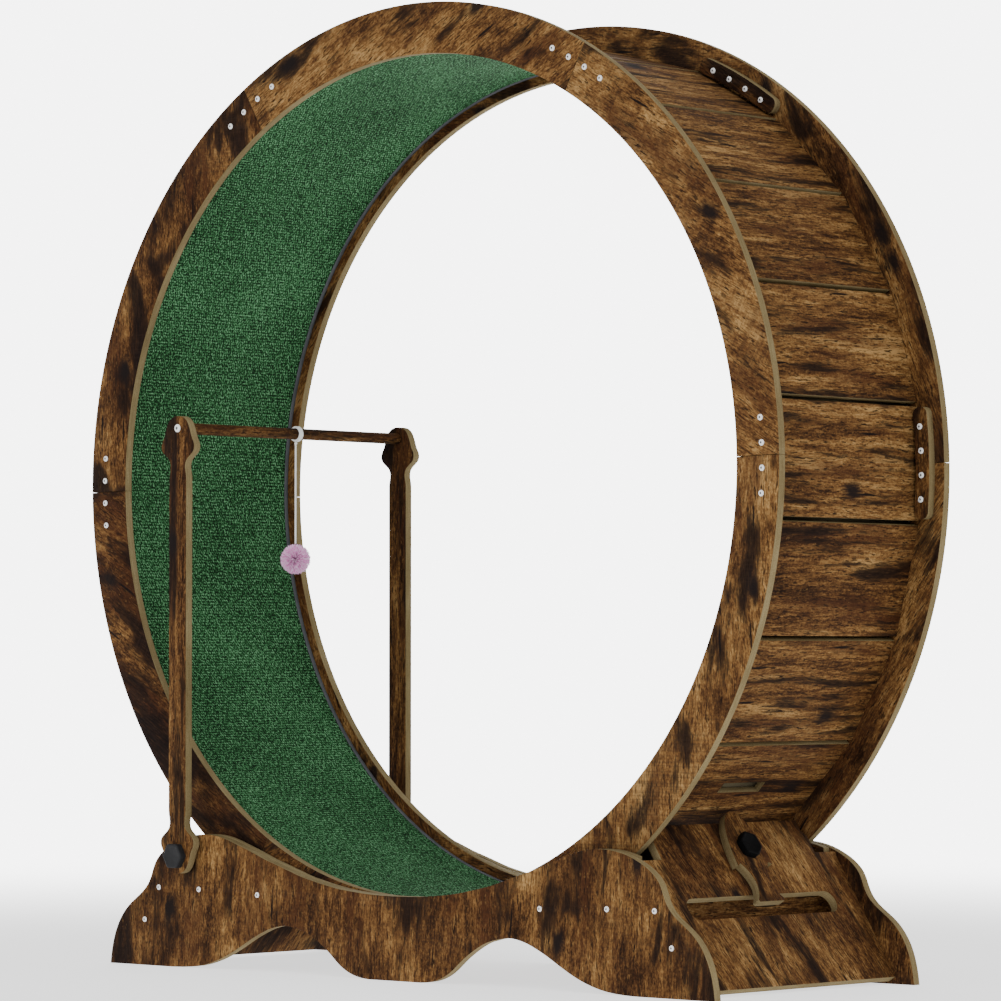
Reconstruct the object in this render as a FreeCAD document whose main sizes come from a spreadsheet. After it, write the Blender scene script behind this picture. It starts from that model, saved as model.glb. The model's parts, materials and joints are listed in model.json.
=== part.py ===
import FreeCAD, Part
import Sketcher
import math
import os

# Cat exercise wheel: two board rings on four grooved rollers, a deck of flat
# planks lined with a mat, two scalloped base panels joined by sloping end
# boards, a wheel-lock pawl, and a tilting teaser frame with a hanging pompom.
# Frame: +X to the lock side, +Y to the rear, +Z up.  The origin is on the
# floor under the wheel's middle.  Millimetres.

os.makedirs("parts", exist_ok=True)
doc = FreeCAD.newDocument("cat_wheel")
V = FreeCAD.Vector
Rot = FreeCAD.Rotation

# ------------------------------------------------------------------ sizes
sheet = doc.addObject("Spreadsheet::Sheet", "Sheet")
ROWS = [
    ("board_thick", 10.0, "thickness of every panel board"),
    ("ring_outer_radius", 500.0, "outside radius of the wheel"),
    ("ring_inner_radius", 445.6, "inside radius of the ring boards"),
    ("ring_inner_face", 128.35, "ring inner face from the middle plane"),
    ("wheel_height", 531.9, "wheel axis above the floor"),
    ("wheel_phase", 0.83, "angle of the first ring joint above +X"),
    ("joint_gap", 0.5, "gap between two ring boards"),
    ("plank_distance", 458.5, "inner face of a plank from the axis"),
    ("plank_thick", 8.0, "deck plank thickness"),
    ("plank_width", 117.5, "deck plank width round the wheel"),
    ("tongue_width", 80.0, "plank tongue width"),
    ("tongue_length", 4.0, "plank tongue length"),
    ("tongue_play", 0.25, "play round a plank tongue"),
    ("mat_inner_radius", 455.5, "walking surface radius"),
    ("mat_thick", 2.8, "mat thickness"),
    ("mat_half_width", 128.1, "half width of the mat"),
    ("lock_slot_width", 66.4, "lock slot along the axis"),
    ("lock_slot_height", 14.0, "lock slot round the wheel"),
    ("lock_slot_round", 2.0, "lock slot middle round the wheel from the plank middle"),
    ("lock_slot_middle", 3.5, "lock slot middle along the axis"),
    ("plate_inner_radius", 470.8, "joint plate inside radius"),
    ("plate_outer_radius", 488.4, "joint plate outside radius"),
    ("plate_half_angle", 6.9, "joint plate half angle"),
    ("bolt_circle_radius", 478.5, "ring bolts from the axis"),
    ("bolt_step", 3.0, "angle between ring bolts"),
    ("bolt_shank_radius", 2.5, "ring bolt shank"),
    ("bolt_head_radius", 3.2, "ring bolt head"),
    ("bolt_head_height", 1.4, "ring bolt head height"),
    ("hole_play", 0.06, "radial play of a hole round its fastener"),
    ("panel_inner_face", 154.8, "base panel inner face from the middle"),
    ("panel_half_length", 438.6, "half length of a base panel"),
    ("ramp_angle", 57.644, "end board slope from the floor"),
    ("ramp_ref_x", 359.3, "end board reference point"),
    ("ramp_ref_z", 86.0, "end board reference height"),
    ("ramp_top", 94.7, "reference point to top edge, up the slope"),
    ("ramp_bottom", 95.6, "reference point to bottom edge"),
    ("ramp_half_width", 154.8, "half width between the panels"),
    ("ramp_neck_half_width", 122.5, "half width above the shoulder"),
    ("ramp_tip_half_width", 116.0, "half width at the top edge"),
    ("ramp_shoulder", 55.5, "reference point to the shoulder"),
    ("grip_slot_middle", 3.05, "hand slot middle, down the slope"),
    ("grip_slot_radius", 12.35, "hand slot half height"),
    ("grip_slot_half_length", 118.2, "hand slot half length"),
    ("roller_x", 304.5, "roller axis from the middle"),
    ("roller_z", 112.8, "roller axis height"),
    ("roller_groove_radius", 17.7, "roller groove radius"),
    ("roller_flange_radius", 24.0, "roller flange radius"),
    ("roller_groove_width", 10.8, "roller groove width"),
    ("roller_flange_thick", 3.6, "roller flange thickness"),
    ("axle_radius", 4.0, "roller axle radius"),
    ("bearing_play", 0.06, "radial play of a turning piece"),
    ("cheek_face", 112.8, "bracket cheek inner face from the middle"),
    ("cheek_thick", 3.0, "bracket strap thickness"),
    ("post_x", 318.0, "teaser post from the middle"),
    ("post_gap", 3.4, "post stand-off from the panel"),
    ("pivot_height", 122.3, "teaser pivot height"),
    ("post_top", 603.6, "top of the posts"),
    ("post_bottom", 103.0, "bottom of the posts"),
    ("rod_height", 590.2, "teaser rod height"),
    ("rod_radius", 6.25, "teaser rod radius"),
    ("stretcher_x", 328.0, "stretcher inner face from the middle"),
    ("stretcher_bottom", 58.0, "stretcher bottom edge above the floor"),
    ("stretcher_height", 42.0, "stretcher height"),
    ("knob_flats", 26.0, "hex knob across flats"),
    ("knob_height", 8.0, "hex knob height"),
    ("shank_radius", 4.0, "knob bolt shank radius"),
    ("pawl_s", -60.3, "pawl pivot, down the slope from the reference"),
    ("pawl_y", 3.9, "pawl pivot from the middle"),
    ("pawl_gap", 0.3, "running clearance under the pawl"),
    ("screw_head_radius", 3.0, "panel screw head radius"),
    ("screw_head_height", 1.2, "panel screw head height"),
    ("screw_shank_radius", 1.75, "panel screw shank radius"),
    ("band_outer_radius", 8.75, "slide ring outside radius"),
    ("band_inner_radius", 6.33, "slide ring inside radius"),
    ("band_width", 5.4, "slide ring width"),
    ("band_y", 5.2, "slide ring middle along the rod"),
    ("string_radius", 1.1, "string radius"),
    ("string_y", 3.8, "string along the rod"),
    ("string_top", 580.9, "top of the string"),
    ("pompom_z", 449.3, "pompom middle height"),
    ("pompom_radius", 17.6, "pompom radius"),
]
D = {}
for i, (alias, value, note) in enumerate(ROWS, start=1):
    sheet.set("A%d" % i, note)
    sheet.set("B%d" % i, repr(value))
    sheet.setAlias("B%d" % i, alias)
    D[alias] = value
doc.recompute()
for alias, value, note in ROWS:
    if abs(float(sheet.get(alias)) - value) > 1e-9:
        raise RuntimeError("sheet cell " + alias)

NODES = []          # (label, object) in the order they are written


def cell(name):
    return "Sheet." + name


def node(obj, label):
    obj.Label = label
    NODES.append((label, obj))
    return obj


def bind(obj, **kw):
    for prop, expr in kw.items():
        obj.setExpression(prop.replace("__", "."), expr)
    return obj


def plane(body, role):
    for f in body.Origin.OriginFeatures:
        if f.Role == role:
            return f
    raise RuntimeError("no plane " + role)


def edges_of(loop):
    """Closed loop given as pieces: ('line', pts) or ('spline', pts)."""
    out = []
    for kind, pts in loop:
        if kind == "line":
            for a, b in zip(pts[:-1], pts[1:]):
                out.append(Part.LineSegment(V(a[0], a[1], 0), V(b[0], b[1], 0)))
        else:
            c = Part.BSplineCurve()
            c.interpolate([V(p[0], p[1], 0) for p in pts])
            out.append(c)
    return out


def plate_body(name, role, loop, thick, holes=(), slots=()):
    """A board cut from a sheet: outline sketch, pad, then drilled holes.
    holes: (x, y, expression of the radius); slots: (cx, cy, half, radius)."""
    body = doc.addObject("PartDesign::Body", name)
    sk = body.newObject("Sketcher::SketchObject", name + "_outline")
    sk.AttachmentSupport = [(plane(body, role), "")]
    sk.MapMode = "FlatFace"
    for e in edges_of(loop):
        sk.addGeometry(e, False)
    pad = body.newObject("PartDesign::Pad", name + "_pad")
    pad.Profile = sk
    pad.setExpression("Length", thick)
    body.Tip = pad
    doc.recompute()
    before = body.Shape.Volume
    if holes or slots:
        hs = body.newObject("Sketcher::SketchObject", name + "_holes")
        hs.AttachmentSupport = [(plane(body, role), "")]
        hs.MapMode = "FlatFace"
        for (x, y, rexpr, rval) in holes:
            g = hs.addGeometry(Part.Circle(V(x, y, 0), V(0, 0, 1), rval), False)
            c = hs.addConstraint(Sketcher.Constraint("Radius", g, rval))
            hs.setExpression("Constraints[%d]" % c, rexpr)
            hs.addConstraint(Sketcher.Constraint("DistanceX", -1, 1, g, 3, x))
            hs.addConstraint(Sketcher.Constraint("DistanceY", -1, 1, g, 3, y))
        for (x, y, half, rad) in slots:
            c0, c1 = y - half + rad, y + half - rad
            hs.addGeometry(Part.LineSegment(V(x - rad, c0, 0), V(x - rad, c1, 0)), False)
            hs.addGeometry(Part.LineSegment(V(x + rad, c1, 0), V(x + rad, c0, 0)), False)
            hs.addGeometry(Part.Arc(V(x - rad, c1, 0), V(x, c1 + rad, 0), V(x + rad, c1, 0)), False)
            hs.addGeometry(Part.Arc(V(x + rad, c0, 0), V(x, c0 - rad, 0), V(x - rad, c0, 0)), False)
        pk = body.newObject("PartDesign::Pocket", name + "_drill")
        pk.Profile = hs
        pk.Type = "ThroughAll"
        pk.Midplane = True
        body.Tip = pk
        doc.recompute()
        if not body.Shape.Volume < before - 1.0:
            raise RuntimeError(name + ": the holes cut nothing")
    return body


# ------------------------------------------------------------------ rings
# One board of a ring in its own frame: +X radial at mid board, +Z outward.
SEG = 60.0
gap_deg = math.degrees(D["joint_gap"] / D["bolt_circle_radius"])
seg_outer = bind(doc.addObject("Part::Cylinder", "seg_outer"),
                 Radius=cell("ring_outer_radius"), Height=cell("board_thick"),
                 Angle="%.1f - %s / %s * 57.29578" % (SEG, cell("joint_gap"), cell("bolt_circle_radius")))
seg_outer.Placement = FreeCAD.Placement(V(0, 0, 0), Rot(V(0, 0, 1), -(SEG - gap_deg) / 2))
seg_core = bind(doc.addObject("Part::Cylinder", "seg_core"),
                Radius=cell("ring_inner_radius"), Height="3 * " + cell("board_thick"))
seg_core.setExpression("Placement.Base.z", "-" + cell("board_thick"))
seg_blank = doc.addObject("Part::Cut", "seg_blank")
seg_blank.Base, seg_blank.Tool = seg_outer, seg_core

tools = []
for j, ang in enumerate((-30, -15, 0, 15, 30)):
    b = bind(doc.addObject("Part::Box", "seg_pocket_%d" % j),
             Length="%s + 2 * %s" % (cell("plank_thick"), cell("tongue_play")),
             Width="%s + 2 * %s" % (cell("tongue_width"), cell("tongue_play")),
             Height="%s + 1.5" % cell("tongue_length"))
    a = math.radians(ang)
    r0 = D["plank_distance"] - D["tongue_play"]
    w0 = D["tongue_width"] / 2 + D["tongue_play"]
    b.Placement = FreeCAD.Placement(
        V(r0 * math.cos(a) + w0 * math.sin(a), r0 * math.sin(a) - w0 * math.cos(a), -1.0),
        Rot(V(0, 0, 1), ang))
    tools.append(b)
for j, off in enumerate((-1, 1)):
    for m, k in enumerate((0.5, 1.5)):
        ang = off * (30.0 - k * D["bolt_step"])
        a = math.radians(ang)
        c = bind(doc.addObject("Part::Cylinder", "seg_hole_%d%d" % (j, m)),
                 Radius="%s + %s" % (cell("bolt_shank_radius"), cell("hole_play")),
                 Height="3 * " + cell("board_thick"))
        c.Placement = FreeCAD.Placement(
            V(D["bolt_circle_radius"] * math.cos(a), D["bolt_circle_radius"] * math.sin(a), -10), Rot())
        tools.append(c)
seg_tools = doc.addObject("Part::Compound", "seg_tools")
seg_tools.Links = tools


def wheel_place(angle_deg, side):
    """Frame on a ring's inner face: X radial at the angle, Z outward (side)."""
    a = math.radians(angle_deg)
    rad = V(math.cos(a), 0, math.sin(a))
    out = V(0, side, 0)
    tan = out.cross(rad)
    m = FreeCAD.Matrix(rad.x, tan.x, out.x, 0, rad.y, tan.y, out.y, side * D["ring_inner_face"],
                       rad.z, tan.z, out.z, D["wheel_height"], 0, 0, 0, 1)
    return FreeCAD.Placement(m)


for side, sname in ((-1, "front"), (1, "rear")):
    for k in range(6):
        cut = doc.addObject("Part::Cut", "%s_ring_%d" % (sname, k + 1))
        cut.Base, cut.Tool = seg_blank, seg_tools
        cut.Placement = wheel_place(D["wheel_phase"] + SEG * k + SEG / 2, side)
        node(cut, "%s_ring_%d" % (sname, k + 1))

# joint plates: an arc-shaped bar over each ring joint, on the inner face
pl_outer = bind(doc.addObject("Part::Cylinder", "plate_outer"),
                Radius=cell("plate_outer_radius"), Height=cell("board_thick"),
                Angle="2 * " + cell("plate_half_angle"))
pl_outer.Placement = FreeCAD.Placement(V(), Rot(V(0, 0, 1), -D["plate_half_angle"]))
pl_core = bind(doc.addObject("Part::Cylinder", "plate_core"),
               Radius=cell("plate_inner_radius"), Height="3 * " + cell("board_thick"))
pl_core.setExpression("Placement.Base.z", "-" + cell("board_thick"))
pl_blank = doc.addObject("Part::Cut", "plate_blank")
pl_blank.Base, pl_blank.Tool = pl_outer, pl_core
doc.recompute()
pl_round = doc.addObject("Part::Fillet", "plate_round")
pl_round.Base = pl_blank
corner = []
for i, e in enumerate(pl_blank.Shape.Edges, start=1):
    if len(e.Vertexes) == 2 and abs(abs(e.Vertexes[0].Z - e.Vertexes[1].Z) - D["board_thick"]) < 1e-6:
        corner.append((i, 7.5, 7.5))
pl_round.Edges = corner
tools = []
for m, k in enumerate((-1.5, -0.5, 0.5, 1.5)):
    a = math.radians(k * D["bolt_step"])
    c = bind(doc.addObject("Part::Cylinder", "plate_hole_%d" % m),
             Radius="%s + %s" % (cell("bolt_shank_radius"), cell("hole_play")),
             Height="3 * " + cell("board_thick"))
    c.Placement = FreeCAD.Placement(
        V(D["bolt_circle_radius"] * math.cos(a), D["bolt_circle_radius"] * math.sin(a), -10), Rot())
    tools.append(c)
pl_tools = doc.addObject("Part::Compound", "plate_tools")
pl_tools.Links = tools
for side, sname in ((-1, "front"), (1, "rear")):
    plates = []
    for k in range(6):
        cut = doc.addObject("Part::Cut", "%s_joint_plate_%d" % (sname, k + 1))
        cut.Base, cut.Tool = pl_round, pl_tools
        # the plate lies on the inner face, so it is shifted one board inwards
        p = wheel_place(D["wheel_phase"] + SEG * k, side)
        cut.Placement = p.multiply(FreeCAD.Placement(V(0, 0, -D["board_thick"]), Rot()))
        plates.append(cut)
    comp = doc.addObject("Part::Compound", "%s_joint_plates" % sname)
    comp.Links = plates
    node(comp, "%s_joint_plates" % sname)


# ring bolts: a head on each side and a shank through ring and plate
def bolt_shape(at, along, r_shank, length, r_head, h_head, both):
    s = Part.makeCylinder(r_shank, length, at, along)
    e = at + along * length
    s = s.fuse(Part.makeCylinder(r_head, h_head, e, along))
    if both:
        s = s.fuse(Part.makeCylinder(r_head, h_head, at, along * -1))
    return s.removeSplitter()


def num(name):
    return float(sheet.get(name))


for side, sname in ((-1, "front"), (1, "rear")):
    bolts = []
    for k in range(6):
        for q in (-1.5, -0.5, 0.5, 1.5):
            a = math.radians(num("wheel_phase") + SEG * k + q * num("bolt_step"))
            r = num("bolt_circle_radius")
            y0 = side * (num("ring_inner_face") - num("board_thick"))
            bolts.append(bolt_shape(V(r * math.cos(a), y0, num("wheel_height") + r * math.sin(a)),
                                    V(0, side, 0), num("bolt_shank_radius"), 2 * num("board_thick"),
                                    num("bolt_head_radius"), num("bolt_head_height"), True))
    f = doc.addObject("Part::Feature", "%s_ring_bolts" % sname)
    f.Shape = Part.makeCompound(bolts)
    f.Placement = FreeCAD.Placement()
    node(f, "%s_ring_bolts" % sname)

# ------------------------------------------------------------------ deck
# one plank in its own frame: X radial from the axis, Y round, Z along
pk_wide = bind(doc.addObject("Part::Box", "plank_wide"),
               Length=cell("plank_thick"), Width=cell("plank_width"),
               Height="2 * %s" % cell("ring_inner_face"))
pk_wide.setExpression("Placement.Base.x", cell("plank_distance"))
pk_wide.setExpression("Placement.Base.y", "-%s / 2" % cell("plank_width"))
pk_wide.setExpression("Placement.Base.z", "-" + cell("ring_inner_face"))
pk_tongue = bind(doc.addObject("Part::Box", "plank_tongue"),
                 Length=cell("plank_thick"), Width=cell("tongue_width"),
                 Height="2 * (%s + %s)" % (cell("ring_inner_face"), cell("tongue_length")))
pk_tongue.setExpression("Placement.Base.x", cell("plank_distance"))
pk_tongue.setExpression("Placement.Base.y", "-%s / 2" % cell("tongue_width"))
pk_tongue.setExpression("Placement.Base.z", "-%s - %s" % (cell("ring_inner_face"), cell("tongue_length")))
pk_slot = bind(doc.addObject("Part::Box", "plank_slot"),
               Length="6 * " + cell("plank_thick"), Width=cell("lock_slot_height"),
               Height=cell("lock_slot_width"))
pk_slot.setExpression("Placement.Base.x", "%s - 3 * %s" % (cell("plank_distance"), cell("plank_thick")))
pk_slot.setExpression("Placement.Base.y", "%s - %s / 2" % (cell("lock_slot_round"), cell("lock_slot_height")))
pk_slot.setExpression("Placement.Base.z", "%s - %s / 2" % (cell("lock_slot_middle"), cell("lock_slot_width")))
pk_full = doc.addObject("Part::Fuse", "plank_full")
pk_full.Base, pk_full.Tool = pk_wide, pk_tongue


def axis_place(angle_deg):
    a = math.radians(angle_deg)
    rad = V(math.cos(a), 0, math.sin(a))
    out = V(0, 1, 0)
    tan = out.cross(rad)
    return FreeCAD.Placement(FreeCAD.Matrix(rad.x, tan.x, out.x, 0, rad.y, tan.y, out.y, 0,
                                            rad.z, tan.z, out.z, D["wheel_height"], 0, 0, 0, 1))


LOCK_PLANK = 21      # 0.83 + 21 * 15 = -44.17 degrees
for k in range(6):
    planks = []
    for m in range(4):
        idx = 4 * k + m
        if idx == LOCK_PLANK:
            p = doc.addObject("Part::Cut", "plank_%02d" % (idx + 1))
            p.Base, p.Tool = pk_full, pk_slot
        else:
            p = doc.addObject("Part::Fuse", "plank_%02d" % (idx + 1))
            p.Base, p.Tool = pk_wide, pk_tongue
        p.Placement = axis_place(D["wheel_phase"] + 15.0 * idx)
        planks.append(p)
    comp = doc.addObject("Part::Compound", "deck_planks_%d" % (k + 1))
    comp.Links = planks
    node(comp, "deck_planks_%d" % (k + 1))

# mat: a band glued to the planks; it closes the inner end of the lock slot
mat_outer = bind(doc.addObject("Part::Cylinder", "mat_outer"),
                 Radius="%s + %s" % (cell("mat_inner_radius"), cell("mat_thick")),
                 Height="2 * " + cell("mat_half_width"))
mat_outer.setExpression("Placement.Base.z", "-" + cell("mat_half_width"))
mat_core = bind(doc.addObject("Part::Cylinder", "mat_core"),
                Radius=cell("mat_inner_radius"), Height="3 * " + cell("mat_half_width"))
mat_core.setExpression("Placement.Base.z", "-1.5 * " + cell("mat_half_width"))
mat = doc.addObject("Part::Cut", "running_mat")
mat.Base, mat.Tool = mat_outer, mat_core
mat.Placement = axis_place(D["wheel_phase"] + 15.0 * LOCK_PLANK)
node(mat, "running_mat")

# ------------------------------------------------------------------ base panels
TOP = [(438.6, 0), (433.7, 26), (428.6, 39.5), (420.6, 52.8), (410.3, 64), (398.2, 73), (386.9, 81),
       (378.4, 89.6), (372.8, 99.5), (369.3, 108.3), (365.6, 115.0), (360.3, 121.0), (353.8, 126.3),
       (347.2, 130.5), (340, 134.2), (328, 139.3), (312, 143.6), (296, 145.7), (280, 145.9), (266, 144.2),
       (252, 140.8), (239, 136.7), (224, 131.8), (209, 126.6), (194, 121.2), (179, 116.8), (165, 112.5),
       (151, 108.1), (136.9, 104.0), (122.7, 101.0), (108.7, 98.0), (94.5, 95.3), (80.2, 93.1), (65.5, 91.6),
       (51, 90.4), (37, 89.3), (22, 88.8)]
ARCH = [(340, 0), (318, 0.7), (300.5, 2.3), (286, 4.9), (271.8, 8.8), (257.4, 14.0), (243, 20.6), (228.4, 28.2),
        (214, 35.8), (199, 42.6), (188, 46.8), (175, 50.1), (163, 51.3), (148, 49.6), (132, 45.6), (113.5, 36.6),
        (96, 25), (83, 14.6), (70, 6.9), (54, 1.9), (38, 0)]
top = TOP + [(0, 88.5)] + [(-x, z) for x, z in reversed(TOP)]
right_arch = ARCH
left_arch = [(-x, z) for x, z in reversed(ARCH)]
panel_loop = [("spline", top),
              ("line", [(-438.6, 0), (-340, 0)]),
              ("spline", list(reversed([(-x, z) for x, z in ARCH]))[::-1]),
              ("line", [(-38, 0), (38, 0)]),
              ("spline", list(reversed(ARCH))),
              ("line", [(340, 0), (438.6, 0)])]

SCREWS = [(383.0, 50.3, 34.0), (360.5, 86.4, 34.0), (297.0, 86.0, 17.0), (205.8, 83.0, 17.0)]
hole_expr = "%s + %s" % (cell("screw_shank_radius"), cell("hole_play"))
hole_val = D["screw_shank_radius"] + D["hole_play"]
pin_expr = "%s + %s" % (cell("shank_radius"), cell("bearing_play"))
pin_val = D["shank_radius"] + D["bearing_play"]
panel_holes = [(sx * x, z, hole_expr, hole_val) for sx in (-1, 1) for x, z, _ in SCREWS]
panel_holes.append((-D["post_x"], D["pivot_height"], pin_expr, pin_val))

front_panel = plate_body("front_panel", "XZ_Plane", panel_loop, cell("board_thick"), panel_holes)
front_panel.setExpression("Placement.Base.y", "-" + cell("panel_inner_face"))
node(front_panel, "front_panel")
rear_panel = plate_body("rear_panel", "XZ_Plane", panel_loop, cell("board_thick"), panel_holes)
rear_panel.setExpression("Placement.Base.y", "%s + %s" % (cell("panel_inner_face"), cell("board_thick")))
node(rear_panel, "rear_panel")

# roller rails: doublers along the panels' inner faces that carry the axles,
# with the same upper edge as the panels
RAIL_END = [(318, 62), (318, 129), (327.2, 134.2), (327.2, 139.3)]
rail_top = [(x, z - 0.25) for x, z in TOP if x < 325]
rail_top = [(327.2, 139.3)] + rail_top + [(0, 88.25)] + [(-x, z) for x, z in reversed(rail_top)] + [(-327.2, 139.3)]
rail_loop = [("line", RAIL_END), ("spline", rail_top),
             ("line", [(-x, z) for x, z in reversed(RAIL_END)] + [(318, 62)])]
axle_expr = "%s + %s" % (cell("axle_radius"), cell("hole_play"))
axle_val = D["axle_radius"] + D["hole_play"]
CORNERS = [("front_right", 1, -1), ("front_left", -1, -1), ("rear_right", 1, 1), ("rear_left", -1, 1)]
rail_holes = [(sx * x, z, hole_expr, hole_val) for sx in (-1, 1) for x, z, _ in SCREWS[2:]]
rail_holes += [(sx * D["roller_x"], D["roller_z"], axle_expr, axle_val) for sx in (-1, 1)]
rail_holes.append((-D["post_x"], D["pivot_height"], pin_expr, pin_val))
for sname, sy in (("front", -1), ("rear", 1)):
    b = plate_body(sname + "_roller_rail", "XZ_Plane", rail_loop, cell("board_thick"), rail_holes)
    if sy < 0:
        b.setExpression("Placement.Base.y", "-%s + %s" % (cell("panel_inner_face"), cell("board_thick")))
    else:
        b.setExpression("Placement.Base.y", cell("panel_inner_face"))
    node(b, sname + "_roller_rail")

# ------------------------------------------------------------------ rollers
groove_y = D["ring_inner_face"] + D["board_thick"] / 2
for cname, sx, sy in CORNERS:
    # each in a frame with Z along +Y, centred on the groove
    spin = FreeCAD.Placement(V(sx * D["roller_x"], sy * groove_y, D["roller_z"]), Rot(V(1, 0, 0), -90))
    body = bind(doc.addObject("Part::Cylinder", "roller_blank_" + cname),
                Radius=cell("roller_flange_radius"),
                Height="%s + 2 * %s" % (cell("roller_groove_width"), cell("roller_flange_thick")))
    body.setExpression("Placement.Base.z", "-%s / 2 - %s" % (cell("roller_groove_width"), cell("roller_flange_thick")))
    ring_o = bind(doc.addObject("Part::Cylinder", "roller_groove_o_" + cname),
                  Radius="%s + 2" % cell("roller_flange_radius"), Height=cell("roller_groove_width"))
    ring_o.setExpression("Placement.Base.z", "-%s / 2" % cell("roller_groove_width"))
    ring_i = bind(doc.addObject("Part::Cylinder", "roller_groove_i_" + cname),
                  Radius=cell("roller_groove_radius"), Height="3 * " + cell("roller_groove_width"))
    ring_i.setExpression("Placement.Base.z", "-1.5 * " + cell("roller_groove_width"))
    tube = doc.addObject("Part::Cut", "roller_groove_" + cname)
    tube.Base, tube.Tool = ring_o, ring_i
    bore = bind(doc.addObject("Part::Cylinder", "roller_bore_" + cname),
                Radius="%s + %s" % (cell("axle_radius"), cell("bearing_play")),
                Height="4 * " + cell("roller_groove_width"))
    bore.setExpression("Placement.Base.z", "-2 * " + cell("roller_groove_width"))
    t = doc.addObject("Part::Compound", "roller_tools_" + cname)
    t.Links = [tube, bore]
    r = doc.addObject("Part::Cut", "roller_" + cname)
    r.Base, r.Tool = body, t
    r.Placement = spin
    node(r, "roller_" + cname)

# axles: a headed pin from the bracket cheek, through the roller, into the rail
for cname, sx, sy in CORNERS:
    sh = bind(doc.addObject("Part::Cylinder", "axle_shank_" + cname),
              Radius=cell("axle_radius"), Height="%s - 1.2 - %s" % (cell("panel_inner_face"), cell("cheek_face")))
    hd = bind(doc.addObject("Part::Cylinder", "axle_head_" + cname), Radius="6.5", Height="2.5")
    hd.Placement = FreeCAD.Placement(V(0, 0, -2.5), Rot())
    fz = doc.addObject("Part::Fuse", "roller_axle_" + cname)
    fz.Base, fz.Tool = sh, hd
    fz.Placement = FreeCAD.Placement(V(sx * D["roller_x"], sy * D["cheek_face"], D["roller_z"]),
                                     Rot(V(1, 0, 0), -90 if sy > 0 else 90))
    node(fz, "roller_axle_" + cname)

# brackets: a bent strap, cheek inside the ring, foot under the roller, tab on the rail
CHEEK = [(286, 84), (322, 84), (324.6, 128), (310.0, 150.5), (298.5, 150.5), (286, 139.5)]
for cname, sx, sy in CORNERS:
    ck = doc.addObject("Part::Feature", "roller_bracket_" + cname)
    t = num("cheek_thick")
    y0 = num("cheek_face")
    y1 = num("panel_inner_face") - num("board_thick")
    w = Part.makePolygon([V(sx * x, sy * y0, z) for x, z in CHEEK + [CHEEK[0]]])
    cheek = Part.Face(w).extrude(V(0, sy * t, 0))
    hole = Part.makeCylinder(num("axle_radius") + num("hole_play"), 20,
                             V(sx * num("roller_x"), sy * y0 - 10, num("roller_z")), V(0, 1, 0))
    cheek = cheek.cut(hole)
    xa = min(sx * 286, sx * 322)
    ya, yb = sorted((sy * y0, sy * y1))
    foot = Part.makeBox(36, yb - ya, t, V(xa, ya, 84 - t))
    ya, yb = sorted((sy * (y1 - t), sy * y1))
    tab = Part.makeBox(36, yb - ya, 20, V(xa, ya, 84 - 20))
    ck.Shape = cheek.fuse([foot, tab]).removeSplitter()
    ck.Placement = FreeCAD.Placement()
    node(ck, "roller_bracket_" + cname)

# ------------------------------------------------------------------ end boards
# own frame: X down the slope, Y as the row's, Z out of the upper face
th = math.radians(D["ramp_angle"])
dn = V(math.cos(th), 0, -math.sin(th))
nn = V(math.sin(th), 0, math.cos(th))
ref = V(D["ramp_ref_x"], 0, D["ramp_ref_z"])
HW, NW, TW = D["ramp_half_width"], D["ramp_neck_half_width"], D["ramp_tip_half_width"]
s0, s1, s2 = -D["ramp_top"], -D["ramp_shoulder"], D["ramp_bottom"]
half = [(s0, TW), (-82.5, TW), (-76.0, NW), (s1, NW), (s1, HW), (s2, HW)]
ramp_pts = [(s, -y) for s, y in half] + [(s, y) for s, y in reversed(half)]
ramp_loop = [("line", ramp_pts + [ramp_pts[0]])]
slot = (D["grip_slot_middle"], 0.0, D["grip_slot_half_length"], D["grip_slot_radius"])
bolt_hole = (D["pawl_s"], D["pawl_y"], pin_expr, pin_val)


def ramp_base(offset):
    return ref + nn * offset


ramps = []
for sx, label in ((1, "right_ramp"), (-1, "left_ramp")):
    holes = [bolt_hole] if sx > 0 else []
    b = plate_body(label + "_board", "XY_Plane", ramp_loop, cell("board_thick"), holes, [slot])
    base = ramp_base(-D["board_thick"] / 2)
    rot = Rot(V(0, 1, 0), D["ramp_angle"])
    if sx < 0:
        base = V(-base.x, 0, base.z)
        rot = Rot(V(0, 0, 1), 180).multiply(rot)
    b.Placement = FreeCAD.Placement(base, rot)
    pilots = []
    for sy in (-1, 1):
        for x, z, length in SCREWS[:2]:
            c = bind(doc.addObject("Part::Cylinder", "%s_pilot_%d" % (label, len(pilots))),
                     Radius=hole_expr, Height="40")
            c.Placement = FreeCAD.Placement(V(sx * x, sy * (HW + 1), z), Rot(V(1, 0, 0), 90 if sy > 0 else -90))
            pilots.append(c)
    pc = doc.addObject("Part::Compound", label + "_pilots")
    pc.Links = pilots
    cut = doc.addObject("Part::Cut", label)
    cut.Base, cut.Tool = b, pc
    cut.Placement = FreeCAD.Placement()
    node(cut, label)

# stretchers: a board across from panel to panel behind each end board
for sx, label in ((1, "right_stretcher"), (-1, "left_stretcher")):
    b = bind(doc.addObject("Part::Box", label), Length=cell("board_thick"),
             Width="2 * " + cell("panel_inner_face"), Height=cell("stretcher_height"))
    b.setExpression("Placement.Base.x", cell("stretcher_x") if sx > 0 else
                    "-%s - %s" % (cell("stretcher_x"), cell("board_thick")))
    b.setExpression("Placement.Base.y", "-" + cell("panel_inner_face"))
    b.setExpression("Placement.Base.z", cell("stretcher_bottom"))
    node(b, label)

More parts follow.
